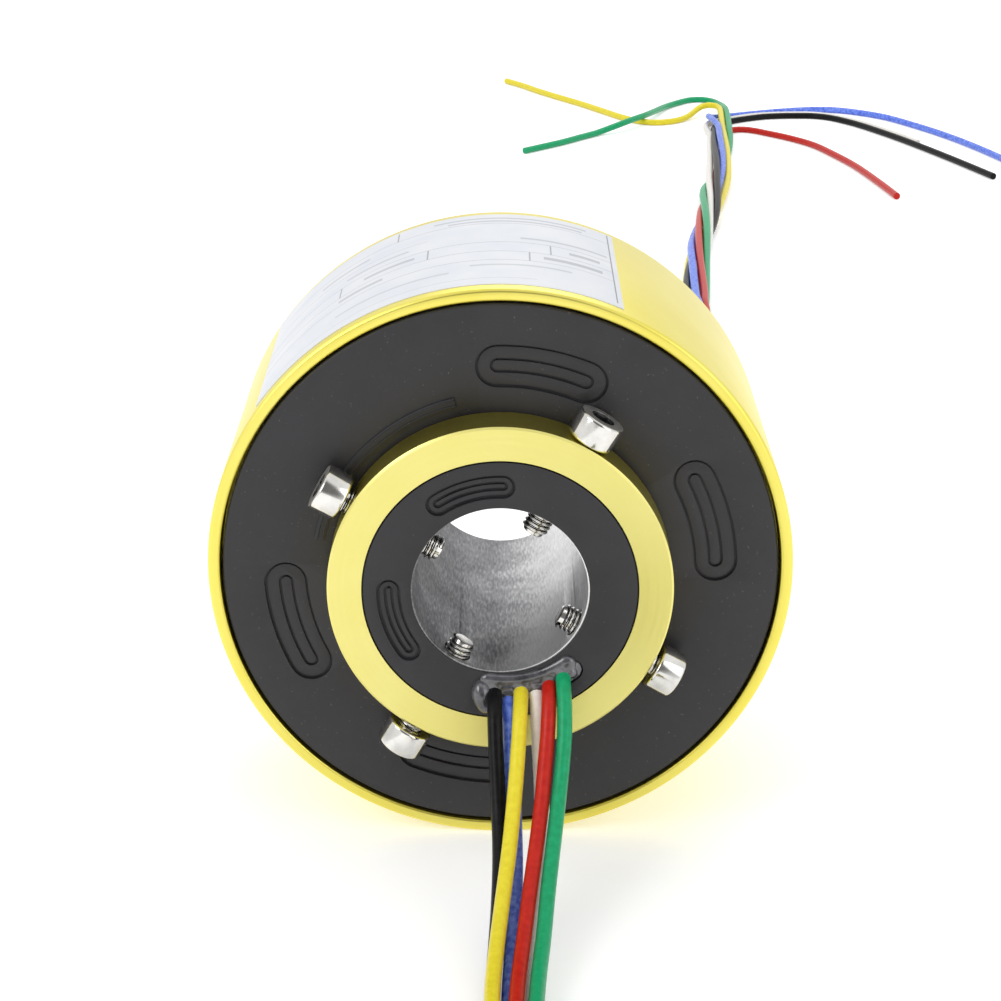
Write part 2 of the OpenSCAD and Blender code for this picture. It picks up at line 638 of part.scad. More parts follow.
// Moulded core that carries the whole rotor
module rotor_core() color([0.2, 0.2, 0.22]) difference() {
    revolve([
        [bore_r + lip_step, core_face], [core_r - 0.2, core_face], [core_r, core_face + 0.2],
        [core_r, rear_bearing_y + bearing_w], [snap_r, rear_bearing_y + bearing_w],
        [snap_r, rear_bearing_y + bearing_w + snap_t], [core_r, rear_bearing_y + bearing_w + snap_t],
        [core_r, core_rear], [tube_r + seat_gap, core_rear],
        [tube_r + seat_gap, core_face + lip_len], [bore_r + lip_step, core_face + lip_len]
    ]);
    for (a = core_track_angles)
        track(core_track_r, a, core_track_half, core_track_w, core_slot_w, core_face);
    at_clamps() bar_out($a, screw_y, screw_d + 2 * screw_gap, 0, core_r + cut);
    exit_slot(0, core_face - cut);
}

// Slot in the core's front face that the rotor leads come out of
exit_slot_r = tube_r + 1.85;
module exit_slot(gap, y1)
    arc_slot(exit_slot_r, (potting_angles[0] + potting_angles[1]) / 2,
        (potting_angles[1] - potting_angles[0]) / 2, 3.5 - 2 * gap, y1, core_face + 2.2);

// Epoxy that fills the slot and stands out round the leads
module rotor_potting() color([0.3, 0.3, 0.32]) intersection() {
    exit_slot(seat_gap, core_face - 2 * potting_h);
    revolve([
        [exit_slot_r - 2, core_face + 3], [exit_slot_r - 2, core_face],
        [exit_slot_r - 1.1, core_face - 0.7 * potting_h], [exit_slot_r - 0.4, core_face - potting_h],
        [exit_slot_r + 0.4, core_face - potting_h], [exit_slot_r + 1.1, core_face - 0.7 * potting_h],
        [exit_slot_r + 2, core_face], [exit_slot_r + 2, core_face + 3]
    ]);
}

// Anodised collar with a register that clamps the front inner race
module clamp_collar() color([0.91, 0.88, 0.5]) difference() {
    revolve([
        [core_r + seat_gap, core_face], [collar_r - collar_chamfer, core_face],
        [collar_r, core_face + collar_chamfer], [collar_r, collar_rear - collar_chamfer],
        [collar_r - collar_chamfer, collar_rear], [register_r, collar_rear],
        [register_r, front_bearing_y], [core_r + seat_gap, front_bearing_y]
    ]);
    at_clamps() bar_out($a, screw_y, screw_d + 2 * seat_gap, core_r - cut, collar_r + cut);
}

// Socket-head cap screws that grip the shaft through the core
module clamp_screws() color([0.8, 0.8, 0.82]) at_clamps() at_angle($a)
    translate([collar_r + $out, screw_y, 0]) rotate([0, 90, 0]) difference() {
        union() {
            rotate_extrude() polygon([
                [0, 0], [screw_head_d / 2 - 0.1, 0], [screw_head_d / 2, 0.1],
                [screw_head_d / 2, screw_head_h - 0.3], [screw_head_d / 2 - 0.3, screw_head_h],
                [0, screw_head_h]
            ]);
            rotate_extrude() polygon([
                [0, eps], [screw_d / 2, eps], [screw_d / 2, -screw_len + 0.4],
                [screw_d / 2 - 0.4, -screw_len], [0, -screw_len]
            ]);
        }
        translate([0, 0, screw_head_h - screw_key_depth])
            cylinder(d = screw_key / cos(30), h = screw_key_depth + cut, $fn = 6);
    }

// Split spring ring that holds the stack on the core
module retaining_ring() color([0.35, 0.35, 0.37]) difference() {
    ring(snap_r + seat_gap, core_r + 1.3, rear_bearing_y + bearing_w,
        rear_bearing_y + bearing_w + snap_t - seat_gap);
    translate([-2, rear_bearing_y, -bearing_r]) cube([4, 2 * bearing_w, bearing_r]);
}

// Contact ring number i, with its brush groove
module contact_ring(i) color([0.83, 0.66, 0.3]) along_y() rotate_extrude() difference() {
    translate([core_r + seat_gap, circuit_y(i) - ring_w / 2]) square([ring_h - seat_gap, ring_w]);
    translate([ring_r, circuit_y(i)]) circle(r = groove_r, $fn = 32);
}

// Insulating ring number i
module insulator(i) color([0.75, 0.2, 0.15])
    let (y = stack_y + i * (ring_w + insulator_w))
    ring(core_r + seat_gap, insulator_r, y, y + insulator_w);

// ---- Leads ----

module rotor_lead_coil() color([0.4, 0.4, 0.42]) translate([coil_x, coil_y, floor_z])
    rotate_extrude() translate([coil_r - wire_pitch - lead_d / 2 - coil_gap, 0])
        square([2 * wire_pitch + lead_d + 2 * coil_gap, coil_h]);

housing();
label();
front_cover();
rear_cover();
tie_screws();
mounting_inserts();
outer_race(front_bearing_y);  // front_outer_race
outer_race(rear_bearing_y);  // rear_outer_race
brush_block(block_angles[0]);  // top_brush_block
brush_block(block_angles[1]);  // bottom_brush_block
brush_wires(block_angles[0]);  // top_brush_wires
brush_wires(block_angles[1]);  // bottom_brush_wires
lead_grommet();
balls(front_bearing_y);  // front_balls
cage(front_bearing_y);  // front_cage
balls(rear_bearing_y);  // rear_balls
cage(rear_bearing_y);  // rear_cage
bore_tube();
rotor_core();
clamp_collar();
clamp_screws();
retaining_ring();
inner_race(front_bearing_y);  // front_inner_race
inner_race(rear_bearing_y);  // rear_inner_race
contact_ring(0);  // contact_ring_1
contact_ring(1);  // contact_ring_2
contact_ring(2);  // contact_ring_3
contact_ring(3);  // contact_ring_4
contact_ring(4);  // contact_ring_5
contact_ring(5);  // contact_ring_6
insulator(0);  // insulator_1
insulator(1);  // insulator_2
insulator(2);  // insulator_3
insulator(3);  // insulator_4
insulator(4);  // insulator_5
insulator(5);  // insulator_6
insulator(6);  // insulator_7
rotor_potting();
color("gray") tube(bundle_route, 2 * bundle_r);  // stator_bundle
color("black") tube(stator_black, lead_d);  // stator_lead_black
color("royalblue") tube(stator_blue, lead_d);  // stator_lead_blue
color("red") tube(stator_red, lead_d);  // stator_lead_red
color("seagreen") tube(stator_green, lead_d);  // stator_lead_green
color("gold") tube(stator_yellow, lead_d);  // stator_lead_yellow
color("white") tube(stator_white, lead_d);  // stator_lead_white
color("black") tube(rotor_black, lead_d);  // rotor_lead_black
color("royalblue") tube(rotor_blue, lead_d);  // rotor_lead_blue
color("gold") tube(rotor_yellow, lead_d);  // rotor_lead_yellow
color("white") tube(rotor_white, lead_d);  // rotor_lead_white
color("red") tube(rotor_red, lead_d);  // rotor_lead_red
color("seagreen") tube(rotor_green, lead_d);  // rotor_lead_green
rotor_lead_coil();
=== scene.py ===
"""Dresses a through-bore slip ring: its turned and moulded pieces, leads, finishes and a small studio."""
import math

import bpy
from mathutils import Matrix, Vector


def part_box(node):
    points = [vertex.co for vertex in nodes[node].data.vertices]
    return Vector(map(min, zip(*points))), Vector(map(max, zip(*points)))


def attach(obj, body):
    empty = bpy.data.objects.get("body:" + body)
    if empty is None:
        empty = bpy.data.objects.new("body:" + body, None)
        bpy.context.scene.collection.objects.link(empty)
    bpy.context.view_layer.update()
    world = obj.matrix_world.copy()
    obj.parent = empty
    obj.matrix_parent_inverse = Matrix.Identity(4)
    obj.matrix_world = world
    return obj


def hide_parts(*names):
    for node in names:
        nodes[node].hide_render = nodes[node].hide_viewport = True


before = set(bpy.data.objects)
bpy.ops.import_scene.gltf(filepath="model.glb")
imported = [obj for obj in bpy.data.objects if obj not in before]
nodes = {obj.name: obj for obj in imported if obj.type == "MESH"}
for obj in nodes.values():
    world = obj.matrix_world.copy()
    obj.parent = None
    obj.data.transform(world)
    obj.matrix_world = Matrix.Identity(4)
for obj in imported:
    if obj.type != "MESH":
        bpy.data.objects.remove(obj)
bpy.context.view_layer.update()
MM = 0.001


# ---- Sizes, in millimetres, read from the frame where a node gives them ----

def low(node):
    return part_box(node)[0] / MM


def high(node):
    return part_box(node)[1] / MM


FIT = 0.02
# Stator: the housing, its covers and what they hold.
RIM_Y = low("housing").y
HOUSING_R = high("housing").z
RIM_CHAMFER = 0.4
RIM_R = 41.2
SHELL_R = 40.2
COVER_Y = RIM_Y + 0.25
COVER_T = 3.5
INSIDE_Y = COVER_Y + COVER_T
COVER_R = high("front_cover").z
COVER_EDGE = 0.25
BEARING_R = high("front_outer_race").z
SEAT_WALL = 3.0
LABEL_T = 0.12
LABEL_MARGIN = 2.4
LABEL_ANGLES = (66, 145)
TIE_R = 35.6
TIE_ANGLES = (55, 125, 235, 305)
TIE_SCREW_R = 1.5
INSERT_R = 34.0
INSERT_ANGLES = (90, 210, 330)
INSERT_OUT_R = 2.8
EXIT_R = 34.0
EXIT_ANGLE = math.radians(30)
EXIT = Vector((EXIT_R * math.cos(EXIT_ANGLE), 0, EXIT_R * math.sin(EXIT_ANGLE)))
GROMMET_R = 4.5
# Rotor: the core, its metal bore tube and the collar.
CORE_Y = low("rotor_core").y
CORE_R = high("rotor_core").z
CORE_END = high("rotor_core").y
COLLAR_R = high("clamp_collar").z
COLLAR_END = COVER_Y - 0.55
COLLAR_CHAMFER = 0.3
BORE_R = 12.7
TUBE_R = high("bore_tube").z
TUBE_Y = low("bore_tube").y
SCREW_Y = (CORE_Y + COLLAR_END) / 2
SCREW_HOLE_R = 2.15
FLOOR_Z = -43.0

# The arc tracks sunk in the two black faces: the radius of their middle, half their angle, their width, the
# width of the slot along their floor, and the border that is cut deeper. All are TRACK_DEPTH deep.
TRACK_DEPTH = 0.4
COVER_TRACK = {"radius": 31.6, "half": 11.8, "width": 6.4, "slot": 2.2, "border": 0.38}
COVER_TRACK_ANGLES = (15, 79, 195, 259)
CORE_TRACK = {"radius": 16.1, "half": 17.5, "width": 3.5, "slot": 1.4, "border": 0.45}
CORE_TRACK_ANGLES = (106, 197)
# The pocket for the potting, beside the bore.
POCKET = {"radius": TUBE_R + 1.85, "angle": -74}


# ---- Small tools ----

def linear(code):
    """An sRGB hex colour as linear RGBA."""
    parts = [int(code[i:i + 2], 16) / 255 for i in (1, 3, 5)]
    return [c / 12.92 if c <= 0.04045 else ((c + 0.055) / 1.055) ** 2.4 for c in parts] + [1.0]


def per(size_mm):
    """The texture scale that makes a pattern's features about size_mm across."""
    return 1 / (size_mm * MM)


def add(tree, kind, settings=(), *links):
    """Adds one shader node. settings are (socket or property, value), with a colour ramp's stops as
    (position, hex colour) pairs; links are (socket, output)."""
    node = tree.nodes.new("ShaderNode" + kind)
    for key, value in settings:
        if key == "stops":
            bar = node.color_ramp.elements
            for stop, (position, code) in zip(bar, value):
                stop.position, stop.color = position, linear(code)
            for position, code in value[2:]:
                bar.new(position).color = linear(code)
        elif isinstance(key, int) or key in node.inputs:
            node.inputs[key].default_value = value
        else:
            setattr(node, key, value)
    for key, output in links:
        tree.links.new(output, node.inputs[key])
    return node


def finish(name):
    """Starts a material: its node tree and the Object coordinates that its patterns read."""
    material = bpy.data.materials.new(name)
    material.use_nodes = True
    material.node_tree.nodes.clear()
    return material, material.node_tree, add(material.node_tree, "TexCoord").outputs["Object"]


def cover_with(tree, settings, *links):
    """Ends a material: its surface shader, with its plain values on its own sockets."""
    add(tree, "OutputMaterial", (), ("Surface", add(tree, "BsdfPrincipled", settings, *links).outputs[0]))


def polar(tree, coords):
    """Distance from the ring's axis, angle round it in degrees, and place along it."""
    xyz = add(tree, "SeparateXYZ", (), (0, coords)).outputs
    flat = add(tree, "CombineXYZ", (), ("X", xyz["X"]), ("Y", xyz["Z"])).outputs[0]
    radius = add(tree, "VectorMath", (("operation", "LENGTH"),), (0, flat)).outputs["Value"]
    angle = add(tree, "Math", (("operation", "ARCTAN2"),), (0, xyz["Z"]), (1, xyz["X"])).outputs[0]
    degrees = add(tree, "Math", (("operation", "DEGREES"),), (0, angle)).outputs[0]
    return radius, degrees, xyz["Y"]


def lathe_lines(tree, coords, pitch_mm):
    """Fine lines that a lathe leaves: they run round the axis on faces and on the outside alike."""
    radius, _, along = polar(tree, coords)
    lines = add(tree, "CombineXYZ", (), ("X", radius), ("Y", along)).outputs[0]
    settings = (("Scale", per(pitch_mm)), ("Detail", 2.0))
    return add(tree, "TexNoise", settings, ("Vector", lines)).outputs["Fac"]


# ---- Finishes ----

def anodised(name, code, light_code):
    # Turned aluminium, bead-blasted and anodised gold: a soft metallic sheen, faint lathe lines and a
    # fine grain.
    metal, tree, coords = finish(name)
    cloud = add(tree, "TexNoise", (("Scale", per(14)), ("Detail", 2.0)), ("Vector", coords)).outputs["Fac"]
    stops = ((0.3, code), (0.75, light_code))
    colouring = add(tree, "ValToRGB", (("stops", stops),), ("Fac", cloud)).outputs["Color"]
    lines = lathe_lines(tree, coords, 0.5)
    grain = add(tree, "TexNoise", (("Scale", per(0.22)), ("Detail", 2.0)), ("Vector", coords)).outputs["Fac"]
    both = add(tree, "Math", (("operation", "MULTIPLY_ADD"), (1, 0.5)), (0, lines), (2, grain)).outputs[0]
    bumps = add(tree, "Bump", (("Distance", 0.004 * MM),), ("Height", both)).outputs[0]
    rough = add(tree, "MapRange", (("From Min", 0.3), ("From Max", 0.7), ("To Min", 0.29), ("To Max", 0.39)),
                ("Value", lines)).outputs[0]
    cover_with(tree, (("Metallic", 1.0),), ("Base Color", colouring), ("Roughness", rough), ("Normal", bumps))
    return metal


def moulded(name, dark, light):
    # Glass-filled nylon moulded in black: matt, with a fine eroded grain, faint flow clouding and a
    # little dust.
    plastic, tree, coords = finish(name)
    cloud = add(tree, "TexNoise", (("Scale", per(9)), ("Detail", 4.0), ("Roughness", 0.6)),
                ("Vector", coords)).outputs["Fac"]
    tone = add(tree, "ValToRGB", (("stops", ((0.35, dark), (0.7, light))),), ("Fac", cloud)).outputs["Color"]
    dust = add(tree, "TexNoise", (("Scale", per(0.45)), ("Detail", 1.0)), ("Vector", coords)).outputs["Fac"]
    specks = add(tree, "MapRange", (("From Min", 0.73), ("From Max", 0.8), ("To Min", 0.0), ("To Max", 0.2)),
                 ("Value", dust)).outputs[0]
    dusty = add(tree, "Mix", (("data_type", "RGBA"), (7, linear("#8A8A88"))),
                (0, specks), (6, tone)).outputs[2]
    grain = add(tree, "TexNoise", (("Scale", per(0.3)), ("Detail", 3.0)), ("Vector", coords)).outputs["Fac"]
    bumps = add(tree, "Bump", (("Distance", 0.012 * MM), ("Strength", 0.6)), ("Height", grain)).outputs[0]
    rough = add(tree, "MapRange", (("From Min", 0.3), ("From Max", 0.7), ("To Min", 0.42), ("To Max", 0.56)),
                ("Value", cloud)).outputs[0]
    cover_with(tree, (("IOR", 1.5),), ("Base Color", dusty), ("Roughness", rough), ("Normal", bumps))
    return plastic


def bright_steel(name, code, stain_code, roughness):
    # Bright steel, turned and tumbled: a clean mirror softened by very fine scratches.
    metal, tree, coords = finish(name)
    stain = add(tree, "TexNoise", (("Scale", per(2.5)), ("Detail", 3.0)), ("Vector", coords)).outputs["Fac"]
    stops = ((0.3, code), (0.8, stain_code))
    colouring = add(tree, "ValToRGB", (("stops", stops),), ("Fac", stain)).outputs["Color"]
    scratch = add(tree, "TexNoise", (("Scale", per(0.25)), ("Detail", 2.0)),
                  ("Vector", coords)).outputs["Fac"]
    bumps = add(tree, "Bump", (("Distance", 0.002 * MM),), ("Height", scratch)).outputs[0]
    cover_with(tree, (("Metallic", 1.0), ("Roughness", roughness)),
               ("Base Color", colouring), ("Normal", bumps))
    return metal


def honed_bore():
    # Aluminium bore, honed and left bare: grey and finely cross-hatched, with painted light and shade:
    # lighter along its right and at its front end, and darker along its left.
    metal, tree, coords = finish("honed aluminium bore")
    _, degrees, along = polar(tree, coords)
    arc = math.radians(BORE_R) * MM
    around = add(tree, "Math", (("operation", "MULTIPLY"), (1, arc)), (0, degrees)).outputs[0]
    wall = add(tree, "CombineXYZ", (), ("X", around), ("Y", along)).outputs[0]
    streaks = []
    for turn in (0.7, -0.7):
        leaning = add(tree, "Mapping", (("Rotation", (0, 0, turn)), ("Scale", (1.0, 0.2, 1.0))),
                      ("Vector", wall)).outputs[0]
        streaks.append(add(tree, "TexNoise", (("Scale", per(0.35)), ("Detail", 3.0)),
                           ("Vector", leaning)).outputs["Fac"])
    hatch = add(tree, "Math", (("operation", "MULTIPLY"),), (0, streaks[0]), (1, streaks[1])).outputs[0]
    stain = add(tree, "TexNoise", (("Scale", per(7)), ("Detail", 3.0)), ("Vector", coords)).outputs["Fac"]
    blend = add(tree, "Math", (("operation", "MULTIPLY_ADD"), (1, 1.8)), (0, hatch), (2, stain)).outputs[0]
    # Painted light and shade: lighter along the right and towards the front end, darker along the left.
    across = add(tree, "VectorMath", (("operation", "DOT_PRODUCT"), (1, (1, 0, -0.25))),
                 (0, coords)).outputs["Value"]
    right = add(tree, "MapRange", (("From Min", 2 * MM), ("From Max", 11 * MM), ("To Max", 1.1)),
                ("Value", across)).outputs[0]
    left = add(tree, "MapRange", (("From Min", -2 * MM), ("From Max", -11 * MM), ("To Max", -0.3)),
               ("Value", across)).outputs[0]
    side = add(tree, "Math", (("operation", "ADD"),), (0, right), (1, left)).outputs[0]
    end = add(tree, "MapRange", (("From Min", -28 * MM), ("From Max", -50 * MM), ("To Min", -0.16),
                                 ("To Max", 0.32)), ("Value", along)).outputs[0]
    painted_light = add(tree, "Math", (("operation", "ADD"),), (0, side), (1, end)).outputs[0]
    tone = add(tree, "Math", (("operation", "ADD"),), (0, blend), (1, painted_light)).outputs[0]
    tone = add(tree, "Math", (("operation", "MULTIPLY"), (1, 0.42)), (0, tone)).outputs[0]
    greys = ((0.2, "#56565A"), (0.45, "#98989A"), (0.7, "#DEDEDE"), (0.95, "#FAFAFA"))
    colouring = add(tree, "ValToRGB", (("stops", greys),), ("Fac", tone)).outputs["Color"]
    bumps = add(tree, "Bump", (("Distance", 0.02 * MM), ("Strength", 0.6)), ("Height", hatch)).outputs[0]
    cover_with(tree, (("Metallic", 1.0), ("Roughness", 0.46)), ("Base Color", colouring), ("Normal", bumps))
    return metal


def insulation(name, code, dark_code, shine):
    # Wire insulation, extruded: a little glossy along its length, with slight ripples and a fine mottle.
    vinyl, tree, coords = finish(name)
    ripple = add(tree, "TexNoise", (("Scale", per(0.9)), ("Detail", 3.0)), ("Vector", coords)).outputs["Fac"]
    stops = ((0.35, dark_code), (0.65, code))
    colouring = add(tree, "ValToRGB", (("stops", stops),), ("Fac", ripple)).outputs["Color"]
    bumps = add(tree, "Bump", (("Distance", 0.015 * MM), ("Strength", 0.5)), ("Height", ripple)).outputs[0]
    cover_with(tree, (("Roughness", 0.34), ("IOR", 1.46), ("Specular IOR Level", shine)),
               ("Base Color", colouring), ("Normal", bumps))
    return vinyl


def poured_epoxy():
    # Dark grey epoxy, poured and set: glossy, with soft dimples where it drew back.
    epoxy, tree, coords = finish("poured grey epoxy")
    cloud = add(tree, "TexNoise", (("Scale", per(2.2)), ("Detail", 3.0)), ("Vector", coords)).outputs["Fac"]
    stops = ((0.35, "#2E2E32"), (0.7, "#64646A"))
    colouring = add(tree, "ValToRGB", (("stops", stops),), ("Fac", cloud)).outputs["Color"]
    dimple = add(tree, "TexNoise", (("Scale", per(1.1)), ("Detail", 2.0)), ("Vector", coords)).outputs["Fac"]
    bumps = add(tree, "Bump", (("Distance", 0.05 * MM), ("Strength", 0.6)), ("Height", dimple)).outputs[0]
    cover_with(tree, (("Roughness", 0.14), ("IOR", 1.56), ("Specular IOR Level", 0.9)),
               ("Base Color", colouring), ("Normal", bumps))
    return epoxy


def printed_film():
    # Printed polyester film: a cool white with fine grey rules and a few plain grey bars.
    sheet, tree, coords = finish("printed white film")
    _, degrees, along = polar(tree, coords)
    millimetres = add(tree, "Math", (("operation", "MULTIPLY"), (1, 1 / MM)), (0, along)).outputs[0]
    # Each mark: its middle and half width along the ring, the same round it in degrees, and its strength.
    marks = [(-8.2, 0.09, 106, 39, 0.5), (-14.0, 0.09, 122, 17, 0.4), (-19.8, 0.09, 106, 39, 0.5),
             (-25.2, 0.09, 106, 39, 0.5), (-30.2, 0.09, 106, 39, 0.5), (-40.2, 0.08, 112, 29, 0.35),
             (-22.5, 2.7, 80, 0.16, 0.6), (-27.7, 2.5, 84.3, 0.16, 0.6), (-22.5, 2.7, 104.7, 0.16, 0.6),
             (-5.7, 2.5, 111.8, 0.16, 0.6), (-22.5, 2.7, 124, 0.16, 0.6), (-22.3, 19.5, 67.2, 0.14, 0.75),
             (-27.7, 0.75, 75.5, 6, 0.42), (-22.4, 0.7, 73, 3.2, 0.4), (-17.2, 0.45, 77, 9, 0.33),
             (-5.0, 0.4, 88, 16, 0.33), (-6.8, 0.4, 87, 14, 0.33), (-22.4, 0.6, 113, 5.5, 0.36),
             (-27.6, 0.6, 119, 5, 0.36), (-33.0, 0.4, 86, 10, 0.28), (-35.6, 0.4, 112, 12, 0.24),
             (-16.9, 0.45, 116, 7, 0.28), (-11.2, 0.5, 124, 6, 0.3)]
    ink = None
    for middle, half, round_middle, round_half, strength in marks:
        row = add(tree, "Math", (("operation", "COMPARE"), (1, middle), (2, half)),
                  (0, millimetres)).outputs[0]
        column = add(tree, "Math", (("operation", "COMPARE"), (1, round_middle), (2, round_half)),
                     (0, degrees)).outputs[0]
        bar = add(tree, "Math", (("operation", "MULTIPLY"),), (0, row), (1, column)).outputs[0]
        bar = add(tree, "Math", (("operation", "MULTIPLY"), (1, strength)), (0, bar)).outputs[0]
        if ink is None:
            ink = bar
        else:
            ink = add(tree, "Math", (("operation", "MAXIMUM"),), (0, ink), (1, bar)).outputs[0]
    tint = add(tree, "TexNoise", (("Scale", per(8)), ("Detail", 2.0)), ("Vector", coords)).outputs["Fac"]
    stops = ((0.3, "#DADEE6"), (0.75, "#E5E7EB"))
    paper = add(tree, "ValToRGB", (("stops", stops),), ("Fac", tint)).outputs["Color"]
    printed = add(tree, "Mix", (("data_type", "RGBA"), (7, linear("#4A4E58"))),
                  (0, ink), (6, paper)).outputs[2]
    swell = add(tree, "TexNoise", (("Scale", per(5)), ("Detail", 1.0)), ("Vector", coords)).outputs["Fac"]
    bumps = add(tree, "Bump", (("Distance", 0.03 * MM), ("Strength", 0.4)), ("Height", swell)).outputs[0]
    cover_with(tree, (("Roughness", 0.38), ("IOR", 1.5)), ("Base Color", printed), ("Normal", bumps))
    return sheet


def workaday(name, code, second, roughness, metallic=0.0, grain_mm=0.6, depth_mm=0.006):
    # A working finish for the pieces inside: a slightly uneven colour and the fine grain of its making.
    stuff, tree, coords = finish(name)
    cloud = add(tree, "TexNoise", (("Scale", per(4)), ("Detail", 3.0)), ("Vector", coords)).outputs["Fac"]
    stops = ((0.3, code), (0.75, second))
    colouring = add(tree, "ValToRGB", (("stops", stops),), ("Fac", cloud)).outputs["Color"]
    grain = add(tree, "TexNoise", (("Scale", per(grain_mm)), ("Detail", 2.0)),
                ("Vector", coords)).outputs["Fac"]
    bumps = add(tree, "Bump", (("Distance", depth_mm * MM), ("Strength", 0.6)), ("Height", grain)).outputs[0]
    cover_with(tree, (("Roughness", roughness), ("Metallic", metallic)),
               ("Base Color", colouring), ("Normal", bumps))
    return stuff


GOLD = anodised("gold anodised aluminium", "#E9DB61", "#EDE175")
# A paler gold for the collar's front, as painted sheen.
GOLD_PAINTED_SHEEN = anodised("gold anodised aluminium, paler as painted sheen", "#E6DC82", "#EAE18E")
BLACK = moulded("black moulded nylon", "#232225", "#2D2C2F")
STAINLESS = bright_steel("polished stainless steel", "#E8E6E1", "#C2C1BD", 0.12)
TURNED_STEEL = bright_steel("turned stainless steel", "#ECEAE6", "#CFCDC9", 0.4)
BORE = honed_bore()
RESIN = poured_epoxy()
FILM = printed_film()
# A dark steel painted into the hex sockets and the roots of the threads as shade.
SHADE_PAINTED_STEEL = bright_steel("steel painted dark as shade", "#4A4A4C", "#353537", 0.45)
ZINC = bright_steel("zinc-plated steel", "#B9BBBE", "#9C9B98", 0.32)
RUBBER = workaday("black moulded rubber", "#19191A", "#242425", 0.6)
BRASS = workaday("turned brass", "#C79C4A", "#D6AE5E", 0.28, 1.0, 0.3, 0.003)
SPRING = workaday("blackened spring steel", "#3A3A3D", "#4A4A4E", 0.4, 1.0, 0.3, 0.003)
RACE = workaday("ground bearing steel", "#B9BABD", "#C9CACC", 0.22, 1.0, 0.25, 0.002)
BALL = workaday("polished bearing steel", "#CACBCD", "#D5D6D8", 0.08, 1.0, 0.25, 0.0005)
CAGE = workaday("machined bronze", "#B68A45", "#C49A56", 0.35, 1.0, 0.3, 0.004)
RING_GOLD = workaday("gold-plated contact ring", "#D9AE4C", "#E3BC62", 0.2, 1.0, 0.25, 0.002)
WIRE_GOLD = workaday("precious-metal brush wire", "#D8B765", "#E2C67E", 0.25, 1.0, 0.25, 0.002)
INSULATOR = workaday("red moulded insulator", "#A83224", "#B83C2C", 0.45)
BLOCK = workaday("green glass-filled brush block", "#3C6848", "#497655", 0.5)
WIRES = {
    "black": insulation("black wire insulation", "#18181A", "#0E0E10", 0.15),
    "blue": insulation("blue wire insulation", "#7E9CFA", "#4A68DC", 0.35),
    "red": insulation("red wire insulation", "#CA2414", "#BC1A0E", 0.3),
    "green": insulation("green wire insulation", "#16A86E", "#109C64", 0.3),
    "yellow": insulation("yellow wire insulation", "#F2E236", "#EAD82C", 0.35),
    "white": insulation("white wire insulation", "#F6F3EC", "#EEEAE2", 0.35),
}


# ---- Camera ----

lens = bpy.data.cameras.new("camera")
lens.lens = 84.36
lens.sensor_width = 36.0
lens.shift_x = 0.004
lens.clip_start = 0.01
camera = bpy.data.objects.new("camera", lens)
camera.location = Vector((0.382, -364.671, 131.237)) * MM
camera.rotation_euler = (math.radians(90 - 20.63), 0, math.radians(0.17))
bpy.context.scene.collection.objects.link(camera)
bpy.context.scene.camera = camera
bpy.context.scene.view_settings.view_transform = "Standard"


# ---- Leads: the routes of the source, in millimetres ----

LEAD_D = 2.2
# A lead's middle as it lies on the floor, and the layers of the coil above it.
LEAD_Z = FLOOR_Z + LEAD_D / 2
LAYER = 2.3
ROTOR_LEAD_LENGTH = 300.0
COIL = Vector((16, -138, 0))
# How far apart the points are on the leads' smooth routes.
LEAD_STEP = 2.2

# The middle of the twisted stator leads, from inside the rear cover to where the twist opens up.
BUNDLE = [
    (29.44, -2.5, 17), (29.44, 4, 17), (29.6, 10, 16), (30.2, 16, 13), (31.2, 22, 7.5), (32.4, 28, -0.5),
    (33.6, 34, -10.5), (35, 40.5, -20.5), (36.8, 48, -29), (38.8, 57, -35), (41, 68, -38.4), (43, 80, -39.3),
    (45, 100, -39.4), (47, 130, -39.4), (48.5, 165, -39.4), (50, 200, -39.4), (51.5, 235, -39.4)]
TWIST_R = 2.5
TWIST_PITCH = 190
# Where each strand sits round the middle at the end of that stretch, in degrees.
SLOTS = {"green": -25, "red": 32, "blue": 92, "black": 151, "yellow": 207, "white": 275}

